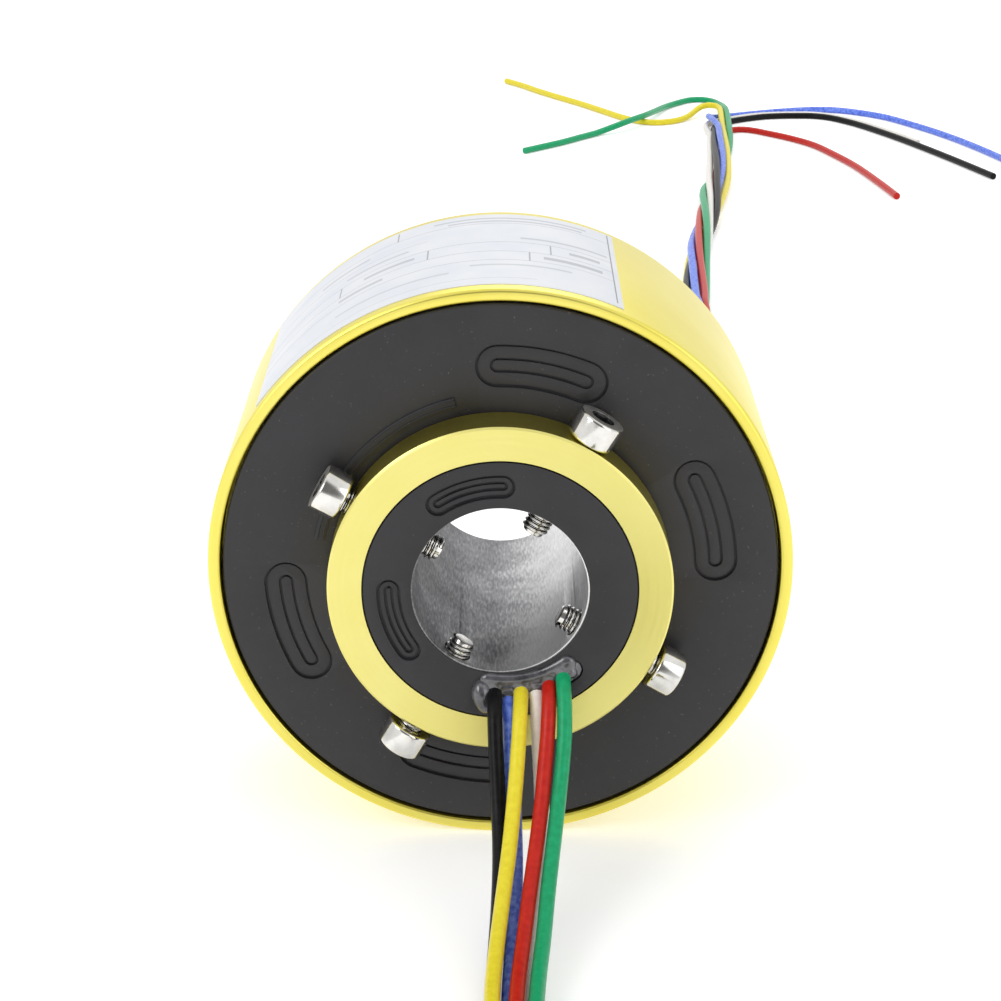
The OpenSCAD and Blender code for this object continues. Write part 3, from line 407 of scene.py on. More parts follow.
# Each stator lead from there on: over and under the others, then its own loose end.
STATOR_LEADS = {
    "black": [(49.8, 246.2, -38.1), (51.2, 262.2, -38.8), (53.2, 278.2, -39.6), (56, 294.1, -40.2),
        (59.5, 309.9, -41.2), (63.3, 325.7, -41), (66, 341.6, -39.5), (67.6, 357.7, -38.5),
        (68.8, 373.8, -37.8), (70.1, 389.9, -37.4), (71.3, 406, -37.5), (72.3, 422.1, -38.1),
        (73.4, 438.1, -38.9), (74.7, 454.1, -39.7), (75.9, 466, -40.3), (76.2, 474, -41.3),
        (77.6, 481, -41.9), (80.8, 487.5, -41.9), (85.4, 491.9, -41.9), (90.5, 495.6, -41.9),
        (96.4, 498.9, -41.9), (102, 500.4, -41.9), (107.6, 500.9, -41.9), (115, 500.6, -41.9),
        (120.8, 497.4, -41.9), (126, 490.8, -41.9), (130.9, 482.5, -41.9), (139.9, 462.9, -41.9),
        (148.2, 441.7, -41.9), (155.8, 420.5, -41.9), (162.6, 400.3, -41.9)],
    "blue": [(51.9, 246, -37.1), (52.7, 262.1, -37.1), (53.5, 278.1, -37.3), (54.6, 294.2, -38.3),
        (56.6, 310.3, -39.5), (59.3, 326.2, -40.5), (62.9, 342.1, -41.1), (66.2, 357.9, -40.8),
        (69.2, 373.8, -40.1), (71.7, 389.7, -39), (73.4, 405.8, -38.4), (74.6, 421.9, -38),
        (75.4, 437.9, -37.8), (76.3, 454, -38), (76.9, 466, -38.3), (76.2, 475, -38.4), (75.5, 483, -38.9),
        (75.6, 489.8, -39.9), (77.4, 495.2, -41.4), (81.6, 498.6, -41.9), (88, 501.8, -41.9),
        (95.5, 505.4, -41.9), (103, 508.6, -41.9), (110, 511, -41.9), (116.5, 512.4, -41.9),
        (122.7, 512.2, -41.9), (128.5, 510, -41.9), (134.2, 505.9, -41.9), (139.8, 500.5, -41.9),
        (144.7, 493.6, -41.9), (153.9, 475.7, -41.9), (162.2, 455.6, -41.9), (170.7, 428.4, -41.9),
        (176, 404, -41.9)],
    "red": [(54.4, 245.9, -38.1), (55.1, 261.9, -37.9), (55.8, 277.9, -37.6), (56.8, 294, -37.5),
        (58, 310.1, -37.6), (59.5, 326.2, -38.2), (61.3, 342.3, -39.3), (64, 358.2, -40.5),
        (67, 374.1, -40.8), (69.6, 390, -40), (71.6, 406, -39.8), (73.7, 421.9, -40.7),
        (75.9, 437.9, -41.3), (78, 453.8, -41.8), (79.4, 466, -41.9), (80.6, 471.6, -41.9),
        (83.4, 475.2, -41.9), (87.3, 475.9, -41.9), (91, 473.6, -41.9), (94.8, 469.5, -41.9),
        (101.9, 461.1, -41.9), (108.8, 449.9, -41.9), (113.8, 435.2, -41.9), (119.1, 415.3, -41.9),
        (123.3, 391.4, -41.9), (126.2, 371.7, -41.9)],
    "green": [(54.9, 245.8, -40.5), (56.3, 261.8, -39.8), (57.6, 277.7, -39.1), (59, 293.7, -38.2),
        (60.3, 309.8, -37.3), (61.3, 326, -36.8), (62.1, 342.2, -37.2), (63, 358.3, -38.4),
        (64.8, 374.4, -40.1), (68.1, 390.2, -41.7), (72.4, 405.9, -41.9), (75.8, 421.7, -41.7),
        (78.4, 437.6, -41.3), (80.2, 453.6, -40.3), (81, 466, -39.6), (81.9, 480, -39.5),
        (82.6, 493.7, -39.5), (82.9, 504, -39.8), (82.9, 515, -41), (82.1, 523, -41.8), (80.1, 529, -41.9),
        (76.4, 532.2, -41.9), (72, 531.3, -41.9), (67.9, 527, -41.9), (61.9, 518, -41.8),
        (57.3, 505.4, -40.9), (52.8, 492, -39.8), (50.1, 486.7, -39.6), (47.4, 482.4, -39.6),
        (44.3, 478, -39.8), (40.6, 474.8, -40.5), (37.5, 472.7, -41.2), (33.7, 469, -41.8),
        (27.5, 461.8, -41.9), (21.4, 454.1, -41.9), (14.5, 446.7, -41.9), (7.8, 439.7, -41.9)],
    "yellow": [(49.8, 246.2, -40.4), (50.9, 262.2, -41.1), (52.4, 278.2, -41.7), (54.4, 294.3, -41.9),
        (57.3, 310.2, -41.9), (61.2, 326, -41.9), (65.1, 341.8, -41.6), (68.5, 357.6, -40.9),
        (71.4, 373.5, -40.5), (73.7, 389.5, -40.2), (75.2, 405.6, -39.8), (76.4, 421.7, -39.4),
        (77.3, 437.7, -39.2), (78.1, 453.8, -39.4), (78.8, 466, -39.8), (79.6, 480, -39.7),
        (80.3, 492, -39.5), (80.5, 501.8, -39.2), (79.5, 504.8, -39), (77, 506.4, -39),
        (74.4, 505.9, -39.4), (72.4, 503.7, -40.1), (70.1, 499.9, -41.1), (67.6, 496.1, -41.7),
        (64.6, 492.6, -41.9), (60.6, 489.6, -41.9), (56.4, 488.4, -41.9), (52.3, 489.4, -41.9),
        (48, 492.9, -41.9), (43.9, 498.4, -41.9), (36.8, 511.2, -41.9), (29.2, 524.6, -41.9),
        (21.9, 536.2, -41.9), (14.6, 548.2, -41.9),
        (8, 560.5, -41.9), (1.6, 570.6, -41.9)],
    "white": [(52.5, 246, -41.9), (54.2, 261.9, -41.6), (56.2, 277.9, -41.2), (58.5, 293.7, -40.5),
        (61, 309.7, -39.5), (62.5, 325.8, -38.8), (63.9, 341.9, -38.7), (65.3, 358, -38.5),
        (66.4, 374.1, -38.5), (67.7, 390.2, -38.7), (69.2, 406.2, -39.3), (70.6, 422.2, -39.9),
        (71.9, 438.3, -40.6), (73.2, 454.3, -41.4), (74.3, 466, -41.9), (73.9, 474, -41.9),
        (74, 481, -41.9), (75.4, 486.4, -41.9), (78.9, 490.4, -41.9), (83.9, 494.1, -41.9),
        (89.2, 497.9, -41.9), (95.5, 501.3, -41.9), (101.6, 502.8, -41.9), (107.6, 503.3, -41.9),
        (115.6, 503, -41.9), (122.4, 499.2, -41.9), (128, 492.1, -41.9), (133.1, 483.7, -41.9),
        (142.1, 464, -41.9), (146.3, 453, -41.9)],
}

# Each rotor lead: its route from the potting, the radius of its turns in the coil, and its layer there.
ROTOR_LEADS = {
    "black": ([(-0.85, -52.6, -15.5), (-0.8, -55.34, -15.95), (-0.78, -57.8, -17.59),
        (-0.67, -59.98, -20.64), (-0.44, -62.64, -24.43), (-0.19, -66, -29), (0, -71, -33.2),
        (-0.15, -77, -37), (-0.55, -84.5, -40), (-0.95, -92.5, -41.6), (-1.05, -100, -41.9),
        (-0.7, -108, -41.9), (-0.3, -117, -41.9), (-0.3, -125, -41.9)], 16.3, 0),
    "blue": ([(1.2, -52.6, -16.6), (1.25, -54.52, -17.16), (1.4, -56.39, -18.56), (1.55, -58.81, -21.76),
        (1.8, -62.01, -25.5), (2.05, -66, -29.5), (2.2, -71, -33.6), (2.1, -77, -37.4),
        (1.7, -84.5, -40.3), (1.35, -92.5, -41.7), (1.3, -100, -41.9), (1.6, -108, -41.9),
        (2, -117, -41.9), (2, -125, -41.9)], 14.0, 0),
    "yellow": ([(3.05, -52.6, -15.4), (3.02, -55.4, -15.7), (2.9, -57.8, -17), (2.7, -60.4, -19.8),
        (2.4, -63.6, -23.2), (1.95, -67.5, -27), (1.35, -72.5, -31), (0.55, -78.5, -34.6),
        (-0.24, -85.5, -37.6), (-0.83, -93, -39.2), (-1, -100, -39.6), (-0.75, -108, -39.6),
        (-0.3, -117, -39.6), (-0.3, -125, -39.6)], 16.3, 1),
    "white": ([(5.3, -52.6, -15.3), (5.35, -54.44, -16.2), (5.45, -56.44, -18.24), (5.65, -58.77, -21.81),
        (5.9, -62.04, -25.52), (6, -66, -29.5), (5.65, -71, -33.6), (4.9, -77, -37.4), (4.1, -84.5, -40.3),
        (3.6, -92.5, -41.7), (3.6, -100, -41.9), (3.9, -108, -41.9), (4.3, -117, -41.9),
        (4.3, -121, -41.9), (4.3, -125, -41.9)], 11.7, 0),
    "red": ([(7.2, -52.6, -14.2), (7.15, -55.21, -14.73), (7.03, -57.95, -16.67), (6.8, -60.49, -19.96),
        (6.4, -63.6, -23.15), (5.9, -67.5, -27), (5.1, -72.5, -31), (4.2, -78.5, -34.6),
        (3.37, -85.5, -37.6), (2.6, -93, -39.2), (2.2, -100, -39.6), (2, -108, -39.6), (2, -117, -39.6),
        (2, -125, -39.6)], 14.0, 1),
    "green": ([(9.15, -52.6, -12.7), (9.17, -55.3, -13.63), (9.32, -58, -16.13), (9.27, -60.42, -19.57),
        (8.86, -63.57, -23.23), (8.25, -67.5, -27), (7.5, -72.5, -31), (6.7, -78.5, -34.6),
        (6, -85.5, -37.6), (5.24, -93, -39.2), (4.8, -100, -39.6), (4.5, -108, -39.6), (4.3, -117, -39.6),
        (4.3, -121, -39.6), (4.3, -125, -39.6)], 11.7, 1),
}


def smooth(points, step):
    """Points about step apart on the smooth curve through these points."""
    points = [Vector(p) for p in points]
    out = []
    for i in range(len(points) - 1):
        a, b, c, d = points[max(i - 1, 0)], points[i], points[i + 1], points[min(i + 2, len(points) - 1)]
        count = max(1, round((c - b).length / step))
        for k in range(count):
            t = k / count
            bend = (2 * a - 5 * b + 4 * c - d) * t ** 2 + (3 * b - a - 3 * c + d) * t ** 3
            out.append(0.5 * (2 * b + (c - a) * t + bend))
    return out + [points[-1]]


def run_length(points):
    """The length of a route along its points."""
    return sum((b - a).length for a, b in zip(points, points[1:]))


def twisted(colour):
    """The route of one stator lead: a helix round the bundle's middle, then its own way."""
    middle = smooth(BUNDLE, 6)
    left = run_length(middle)
    points = []
    for i, spot in enumerate(middle):
        if i:
            left -= (spot - middle[i - 1]).length
        ahead = (middle[min(i + 1, len(middle) - 1)] - middle[max(i - 1, 0)]).normalized()
        across = ahead.cross(Vector((0, 0, 1))).normalized()
        turn = math.radians(SLOTS[colour] - 360 * left / TWIST_PITCH)
        points.append(spot + TWIST_R * (math.cos(turn) * across + math.sin(turn) * across.cross(ahead)))
    return smooth(points + STATOR_LEADS[colour], LEAD_STEP)


def coiled(colour):
    """The route of one rotor lead: down to the floor, then round in the coil until its length is used up."""
    route, radius, layer = ROTOR_LEADS[colour]
    start = COIL + Vector((-radius, 0, LEAD_Z + LAYER * layer))
    points = smooth(route + [start], LEAD_STEP)
    degrees = math.degrees((ROTOR_LEAD_LENGTH - run_length(points)) / radius)
    count = int(degrees / 9)
    for k in range(1, count + 1):
        swept = degrees * k / count
        turns, part = divmod(swept, 360)
        # Each turn climbs two layers, on the far part of its way round.
        climb = min(max((part - 140) / 130, 0), 1)
        rise = 2 * LAYER * (turns + climb * climb * (3 - 2 * climb))
        a = math.radians(180 + swept)
        points.append(start + Vector((radius + radius * math.cos(a), radius * math.sin(a), rise)))
    return points


def lead(name, points, colour, body, *stands_for):
    """Lays one insulated wire along its route."""
    line = bpy.data.curves.new(name, "CURVE")
    line.dimensions = "3D"
    line.bevel_depth = LEAD_D / 2 * MM
    line.bevel_resolution = 4
    line.use_fill_caps = True
    path = line.splines.new("POLY")
    path.points.add(len(points) - 1)
    for spot, p in zip(path.points, points):
        spot.co = (*(p * MM), 1)
    piece = bpy.data.objects.new(name, line)
    bpy.context.scene.collection.objects.link(piece)
    line.materials.append(WIRES[colour])
    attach(piece, body)
    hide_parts(*stands_for)


for colour in STATOR_LEADS:
    lead("stator_wire_" + colour, twisted(colour), colour, "stator", "stator_bundle", "stator_lead_" + colour)
for colour in ROTOR_LEADS:
    lead("rotor_wire_" + colour, coiled(colour), colour, "rotor", "rotor_lead_" + colour, "rotor_lead_coil")


# ---- Modelling tools ----

def fresh():
    """Leaves nothing selected, so that an operator acts only on the next new piece."""
    if bpy.context.object and bpy.context.object.mode != "OBJECT":
        bpy.ops.object.mode_set(mode="OBJECT")
    bpy.ops.object.select_all(action="DESELECT")


def only(piece):
    """Selects one piece alone and makes it the active one."""
    fresh()
    piece.select_set(True)
    bpy.context.view_layer.objects.active = piece


def settle(piece):
    """Puts the piece's place into its mesh, with its faces pointing outwards."""
    only(piece)
    bpy.ops.object.transform_apply(location=True, rotation=True, scale=True)
    bpy.ops.object.mode_set(mode="EDIT")
    bpy.ops.mesh.select_all(action="SELECT")
    bpy.ops.mesh.remove_doubles(threshold=0.004 * MM)
    bpy.ops.mesh.normals_make_consistent(inside=False)
    bpy.ops.object.mode_set(mode="OBJECT")


def modify(piece, kind, **settings):
    """Adds one modifier and applies it."""
    only(piece)
    modifier = piece.modifiers.new(kind.lower(), kind)
    for key, value in settings.items():
        setattr(modifier, key, value)
    bpy.ops.object.modifier_apply(modifier=modifier.name)


def rounded(piece, width_mm, segments=2, angle=35):
    """Rounds every edge that is sharper than the angle."""
    modify(piece, "BEVEL", width=width_mm * MM, segments=segments, limit_method="ANGLE",
           angle_limit=math.radians(angle), use_clamp_overlap=True)


def shade(piece, angle=35):
    """Shades the piece smooth, except over edges sharper than the angle."""
    only(piece)
    bpy.ops.object.shade_smooth_by_angle(angle=math.radians(angle))


def eased(piece, width_mm, segments=2):
    """Rounds a piece's edges and shades it smooth."""
    rounded(piece, width_mm, segments)
    shade(piece)
    return piece


def cut(piece, cutter):
    """Takes the cutter out of the piece."""
    modify(piece, "BOOLEAN", operation="DIFFERENCE", object=cutter, solver="EXACT")
    bpy.data.objects.remove(cutter)


def join(first, *others):
    """Joins the others into the first piece."""
    only(first)
    for piece in others:
        piece.select_set(True)
    bpy.ops.object.join()
    return first


def turned(name, profile, steps=192):
    """Turns a closed outline of (radius, y) points: a hoop is extruded and opened out from point to point."""
    fresh()
    (r0, y0), rest = profile[0], profile[1:] + profile[:1]
    bpy.ops.mesh.primitive_circle_add(vertices=steps, radius=r0 * MM, location=(0, y0 * MM, 0),
                                      rotation=(math.pi / 2, 0, 0))
    piece = bpy.context.object
    piece.name = name
    bpy.ops.object.transform_apply(location=True, rotation=True, scale=True)
    bpy.ops.object.mode_set(mode="EDIT")
    bpy.ops.mesh.select_all(action="SELECT")
    for r1, y1 in rest:
        bpy.ops.mesh.extrude_region_move(TRANSFORM_OT_translate={"value": (0, (y1 - y0) * MM, 0)})
        bpy.ops.transform.resize(value=(r1 / r0, 1, r1 / r0), center_override=(0, y1 * MM, 0))
        r0, y0 = r1, y1
    bpy.ops.object.mode_set(mode="OBJECT")
    settle(piece)
    return piece


def span(name, start, end):
    """Names the new piece, which is as long as the way from start to end, and lays it there."""
    piece = bpy.context.object
    piece.name = name
    turn = (end - start).to_track_quat("Z", "Y").to_matrix().to_4x4()
    piece.matrix_world = Matrix.Translation((start + end) / 2 * MM) @ turn
    settle(piece)
    return piece


def rod(name, radius, start, end, steps=32):
    """A plain round bar from start to end, in millimetres, as a cutter or a blank."""
    start, end = Vector(start), Vector(end)
    fresh()
    bpy.ops.mesh.primitive_cylinder_add(vertices=steps, radius=radius * MM, depth=(end - start).length * MM)
    return span(name, start, end)


def cone(name, radius1, radius2, start, end, steps=48):
    """A cone's stump from start to end, in millimetres, as a cutter or a blank."""
    start, end = Vector(start), Vector(end)
    fresh()
    bpy.ops.mesh.primitive_cone_add(vertices=steps, radius1=radius1 * MM, radius2=radius2 * MM,
                                    depth=(end - start).length * MM)
    return span(name, start, end)


def at(radius, angle, y):
    """A point at a radius and an angle round the axis, in millimetres."""
    a = math.radians(angle)
    return Vector((radius * math.cos(a), y, radius * math.sin(a)))


def slot_bar(name, radius, angle, half, width, y1, y2):
    """A curved bar with round ends: its outline is drawn by four spins, filled, and taken from y1 to y2."""
    fresh()
    bpy.ops.mesh.primitive_plane_add(size=MM)
    piece = bpy.context.object
    piece.name = name
    bpy.ops.object.mode_set(mode="EDIT")
    bpy.ops.mesh.select_all(action="SELECT")
    bpy.ops.mesh.merge(type="CENTER")
    bpy.ops.transform.translate(value=at(radius + width / 2, angle - half, y1) * MM)
    axis = Vector((0, y1, 0))
    for middle, sweep, steps in ((axis, 2 * half, 16), (at(radius, angle + half, y1), 180, 12),
                                 (axis, -2 * half, 16), (at(radius, angle - half, y1), 180, 12)):
        bpy.ops.mesh.spin(steps=steps, angle=math.radians(sweep), center=middle * MM, axis=(0, 1, 0))
    bpy.ops.mesh.select_all(action="SELECT")
    bpy.ops.mesh.remove_doubles(threshold=0.01 * MM)
    bpy.ops.mesh.edge_face_add()
    bpy.ops.mesh.extrude_region_move(TRANSFORM_OT_translate={"value": (0, (y2 - y1) * MM, 0)})
    bpy.ops.object.mode_set(mode="OBJECT")
    settle(piece)
    return piece


def moat(radius, angle, half, width, top, shelf, bottom, border):
    """A cutter for a shallow arc pocket whose border is a deeper groove: the shelf lies inside the groove."""
    pocket = slot_bar("cutter", radius, angle, half, width, top, bottom)
    cut(pocket, slot_bar("shelf", radius, angle, half, width - 2 * border, shelf, bottom + 1))
    return pocket


def tracks(piece, angles, face, radius, half, width, slot, border):
    """Sinks arc tracks into a face that looks forwards, each with a narrower slot along its floor."""
    bed = face + TRACK_DEPTH
    for a in angles:
        cut(piece, moat(radius, a, half, width, face - 1, bed - 0.02, bed + 0.35, border))
        cut(piece, moat(radius, a, half, slot, face - 1, bed + 0.12, bed + 0.55, border))


def sector(piece, start, end):
    """Keeps a turned piece between two angles less than half a turn apart, and closes its ends."""
    only(piece)
    bpy.ops.object.mode_set(mode="EDIT")
    for angle, side in ((start, 1), (end, -1)):
        bpy.ops.mesh.select_all(action="SELECT")
        a = math.radians(angle)
        bpy.ops.mesh.bisect(plane_co=(0, 0, 0), plane_no=Vector((math.sin(a), 0, -math.cos(a))) * side,
                            use_fill=False, clear_outer=True)
    bpy.ops.mesh.select_all(action="SELECT")
    bpy.ops.mesh.region_to_loop()
    bpy.ops.mesh.fill_holes(sides=24)
    bpy.ops.object.mode_set(mode="OBJECT")
    settle(piece)
    return piece


def place(piece, material, body, *stands_for):
    """Gives a finished piece its material, its body and the CAD nodes that it stands for."""
    piece.data.materials.clear()
    piece.data.materials.append(material)
    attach(piece, body)
    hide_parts(*stands_for)
    return piece


# ---- Stator ----

shell = turned("anodised_housing", [
    (RIM_R + 0.25, RIM_Y), (HOUSING_R - RIM_CHAMFER, RIM_Y), (HOUSING_R, RIM_Y + RIM_CHAMFER),
    (HOUSING_R, -RIM_CHAMFER), (HOUSING_R - RIM_CHAMFER, 0), (RIM_R, 0), (RIM_R, -COVER_T),
    (SHELL_R, -COVER_T), (SHELL_R, INSIDE_Y), (RIM_R, INSIDE_Y), (RIM_R, RIM_Y + 0.2)], 256)
place(eased(shell, 0.1), GOLD, "stator", "housing")

label = sector(turned("label_film", [
    (HOUSING_R, RIM_Y + LABEL_MARGIN), (HOUSING_R + LABEL_T, RIM_Y + LABEL_MARGIN),
    (HOUSING_R + LABEL_T, -LABEL_MARGIN), (HOUSING_R, -LABEL_MARGIN)], 360), *LABEL_ANGLES)
shade(label)
place(label, FILM, "stator", "label")


def cover_blank(name, inner, outer_y, inner_y, seat_y):
    """A moulded cover with the wall that seats a bearing."""
    edge_y = outer_y + (COVER_EDGE if inner_y > outer_y else -COVER_EDGE)
    seat, wall = BEARING_R + FIT, BEARING_R + SEAT_WALL + FIT
    return turned(name, [
        (inner, outer_y), (COVER_R - COVER_EDGE, outer_y), (COVER_R, edge_y), (COVER_R, inner_y),
        (wall, inner_y), (wall, seat_y), (seat, seat_y), (seat, inner_y), (inner, inner_y)], 216)


front = cover_blank("moulded_front_cover", 22.0, COVER_Y, INSIDE_Y, high("front_cover").y)
tracks(front, COVER_TRACK_ANGLES, COVER_Y, **COVER_TRACK)
eased(front, 0.16, 3)
# A low arc pad by the collar, with two fine raised rules along it.
pads = []
for inner, outer, up in ((26.2, 27.7, 0.3), (26.45, 26.65, 0.5), (27.2, 27.4, 0.5)):
    pad = turned("pad", [(inner, COVER_Y - up), (outer, COVER_Y - up), (outer, COVER_Y + 0.5),
                         (inner, COVER_Y + 0.5)], 216)
    pads.append(eased(sector(pad, 104, 169), 0.05))
# Behind it, the bosses that the long screws draw up against.
bosses = [eased(rod("boss", 4.0, at(TIE_R, a, INSIDE_Y - 0.05), at(TIE_R, a, INSIDE_Y + 4)), 0.3)
          for a in TIE_ANGLES]
place(join(front, *pads, *bosses), BLACK, "stator", "front_cover")

rear = cover_blank("moulded_rear_cover", 23.2, 0.0, -COVER_T, -10.35)
for a in TIE_ANGLES:
    cut(rear, rod("cutter", TIE_SCREW_R + 0.2, at(TIE_R, a, -5), at(TIE_R, a, 1)))
    cut(rear, cone("sink", 1.0, 3.4, at(TIE_R, a, -1.8), at(TIE_R, a, 0.6)))
for a in INSERT_ANGLES:
    cut(rear, rod("cutter", INSERT_OUT_R + FIT, at(INSERT_R, a, -5), at(INSERT_R, a, 1)))
cut(rear, rod("cutter", GROMMET_R + FIT, EXIT + Vector((0, -5, 0)), EXIT + Vector((0, 1, 0)), 48))
place(eased(rear, 0.15), BLACK, "stator", "rear_cover")


def hex_socket(piece, across, start, end):
    """Sinks a key's six-sided socket into a screw's head."""
    cut(piece, rod("cutter", across / math.sqrt(3), start, end, 6))


screws = []
for a in TIE_ANGLES:
    head = cone("head", TIE_SCREW_R, 2.8, at(TIE_R, a, -1.6), at(TIE_R, a, 0))
    hex_socket(head, 2.0, at(TIE_R, a, -1.2), at(TIE_R, a, 1))
    shank = rod("shank", TIE_SCREW_R, at(TIE_R, a, INSIDE_Y - 1), at(TIE_R, a, -1.55))
    shade(shank)
    screws += [eased(head, 0.1), shank]
place(join(*screws), ZINC, "stator", "tie_screws").name = "countersunk_tie_screws"

M4_PITCH = 0.7
inserts = []
for a in INSERT_ANGLES:
    blank = turned("insert", [
        (1.65, -5.5), (INSERT_OUT_R, -5.5), (INSERT_OUT_R, 0), (1.95, 0), (1.65, -0.3)], 48)
    # The thread inside, as rings one pitch apart.
    rings = []
    for k in range(1, 8):
        y = -M4_PITCH * k
        rings.append(turned("ring", [(1.66, y - 0.3), (1.48, y), (1.66, y + 0.3)], 48))
    insert = join(blank, *rings)
    insert.location = at(INSERT_R, a, 0) * MM
    settle(insert)
    shade(insert)
    inserts.append(insert)
place(join(*inserts), BRASS, "stator", "mounting_inserts").name = "threaded_brass_inserts"

grommet = turned("rubber_grommet", [
    (3.7, -COVER_T), (GROMMET_R, -COVER_T), (GROMMET_R, 0), (5.7, 0), (5.7, 0.72), (5.2, 1.2),
    (3.7, 1.2)], 64)
rounded(grommet, 0.25, 3)
grommet.location = EXIT * MM
settle(grommet)
shade(grommet)
place(grommet, RUBBER, "stator", "lead_grommet")


# ---- Rotor ----

# Each clamp screw's angle, and how far its head's seat stands off the collar.
CLAMPS = ((60, 0.15), (150, 1.0), (240, 1.4), (330, 0.9))

tube = turned("honed_bore_tube", [
    (BORE_R, TUBE_Y), (TUBE_R, TUBE_Y), (TUBE_R, CORE_END), (BORE_R, CORE_END)], 192)
for a, _ in CLAMPS:
    cut(tube, rod("cutter", SCREW_HOLE_R, at(9, a, SCREW_Y), at(18, a, SCREW_Y)))
place(eased(tube, 0.08), BORE, "rotor", "bore_tube")

# The core's front edge steps back a little, and leaves a fine dark line inside the collar. Its groove near
# the rear holds the retaining ring.
STEP = 0.24
STEP_Y = CORE_Y + 0.7
core = turned("moulded_rotor_core", [
    (BORE_R + 0.2, CORE_Y), (CORE_R - STEP, CORE_Y), (CORE_R - STEP, STEP_Y), (CORE_R, STEP_Y),
    (CORE_R, -3.7), (19.05, -3.7), (19.05, -2.5), (CORE_R, -2.5), (CORE_R, CORE_END),
    (TUBE_R + FIT, CORE_END), (TUBE_R + FIT, TUBE_Y), (BORE_R + 0.2, TUBE_Y)], 192)
for a, _ in CLAMPS:
    cut(core, rod("cutter", SCREW_HOLE_R, at(13, a, SCREW_Y), at(22, a, SCREW_Y)))
tracks(core, CORE_TRACK_ANGLES, CORE_Y, **CORE_TRACK)
cut(core, slot_bar("cutter", **POCKET, half=24, width=3.5, y1=CORE_Y - 1, y2=CORE_Y + 2.2))
place(eased(core, 0.17, 3), BLACK, "rotor", "rotor_core")

collar = turned("anodised_collar", [
    (CORE_R + FIT, CORE_Y), (COLLAR_R - COLLAR_CHAMFER, CORE_Y), (COLLAR_R, CORE_Y + COLLAR_CHAMFER),
    (COLLAR_R, COLLAR_END - COLLAR_CHAMFER), (COLLAR_R - COLLAR_CHAMFER, COLLAR_END), (21.2, COLLAR_END),
    (21.2, INSIDE_Y), (CORE_R + FIT, INSIDE_Y)], 216)
for a, _ in CLAMPS:
    cut(collar, rod("cutter", 1.97, at(18, a, SCREW_Y), at(27, a, SCREW_Y)))
    cut(collar, cone("cutter", 1.7, 2.6, at(COLLAR_R - 0.6, a, SCREW_Y), at(COLLAR_R + 0.3, a, SCREW_Y)))
place(eased(collar, 0.07), GOLD_PAINTED_SHEEN, "rotor", "clamp_collar")
# The collar's front gets a paler gold than its turned side, as painted sheen.
collar.data.materials.append(GOLD)
for face in collar.data.polygons:
    face.material_index = int(abs(face.normal.y) < 0.5 and face.center.xz.length > (COLLAR_R - 1) * MM)


def cap_screw():
    """An M4 socket-head cap screw along +Z, its head's seat at z = 0: head, hex socket and a cut thread."""
    head_r, head_h, length, root_r = 3.5, 4.0, 16.0, 1.53
    head = rod("head", head_r, (0, 0, 0), (0, 0, head_h), 72)
    rounded(head, 0.45, 5)
    hex_socket(head, 3.0, (0, 0, 1.8), (0, 0, head_h + 1))
    cut(head, cone("cutter", 1.5, 2.0, (0, 0, head_h - 0.35), (0, 0, head_h + 0.15)))
    rounded(head, 0.05, 2, 30)
    shade(head, 40)
    # The socket's walls and floor get a dark steel as painted shade; the head's end keeps its turned face.
    for material in (STAINLESS, SHADE_PAINTED_STEEL, TURNED_STEEL):
        head.data.materials.append(material)
    for face in head.data.polygons:
        middle = face.center / MM
        if middle.xy.length < 1.85 and 1.7 < middle.z < head_h - 0.03:
            face.material_index = 1
        elif middle.z > head_h - 0.1:
            face.material_index = 2
    # The thread: one crest, drawn from root to root and wound up to the head.
    fresh()
    bpy.ops.mesh.primitive_plane_add(size=MM)
    thread = bpy.context.object
    bpy.ops.object.mode_set(mode="EDIT")
    bpy.ops.mesh.select_all(action="SELECT")
    bpy.ops.mesh.merge(type="CENTER")
    bpy.ops.transform.translate(value=(root_r * MM, 0, (0.1 - length) * MM))
    for dx, dz in ((0.19, 0.13), (0.22, 0.15), (0.0, 0.1), (-0.22, 0.15), (-0.19, 0.13)):
        bpy.ops.mesh.extrude_region_move(TRANSFORM_OT_translate={"value": (dx * MM, 0, dz * MM)})
    bpy.ops.object.mode_set(mode="OBJECT")
    modify(thread, "SCREW", steps=32, render_steps=32, screw_offset=M4_PITCH * MM, iterations=22,
           use_merge_vertices=True, merge_threshold=0.01 * MM)
    settle(thread)
    shade(thread, 30)
    # The roots of the thread get the dark steel as painted shade.
    thread.data.materials.append(STAINLESS)
    thread.data.materials.append(SHADE_PAINTED_STEEL)
    for face in thread.data.polygons:
        face.material_index = int(face.center.xy.length < (root_r + 0.18) * MM)
    barrel = rod("barrel", root_r + 0.01, (0, 0, -length), (0, 0, 0.1), 32)
    eased(barrel, 0.3).data.materials.append(STAINLESS)
    return join(head, thread, barrel)


pattern = cap_screw()
copies = []
for a, out in CLAMPS:
    screw = pattern.copy()
    screw.data = pattern.data.copy()
    bpy.context.scene.collection.objects.link(screw)
    turn = at(1, a, 0).to_track_quat("Z", "Y").to_matrix().to_4x4()
    # Each one stopped at its own turn of the key.
    twist = Matrix.Rotation(math.radians(17 * a), 4, "Z")
    screw.matrix_world = Matrix.Translation(at(COLLAR_R + out, a, SCREW_Y) * MM) @ turn @ twist
    only(screw)
    bpy.ops.object.transform_apply(location=True, rotation=True, scale=True)
    copies.append(screw)
bpy.data.objects.remove(pattern)
clamps = join(*copies)
clamps.name = "socket_clamp_screws"
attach(clamps, "rotor")
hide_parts("clamp_screws")


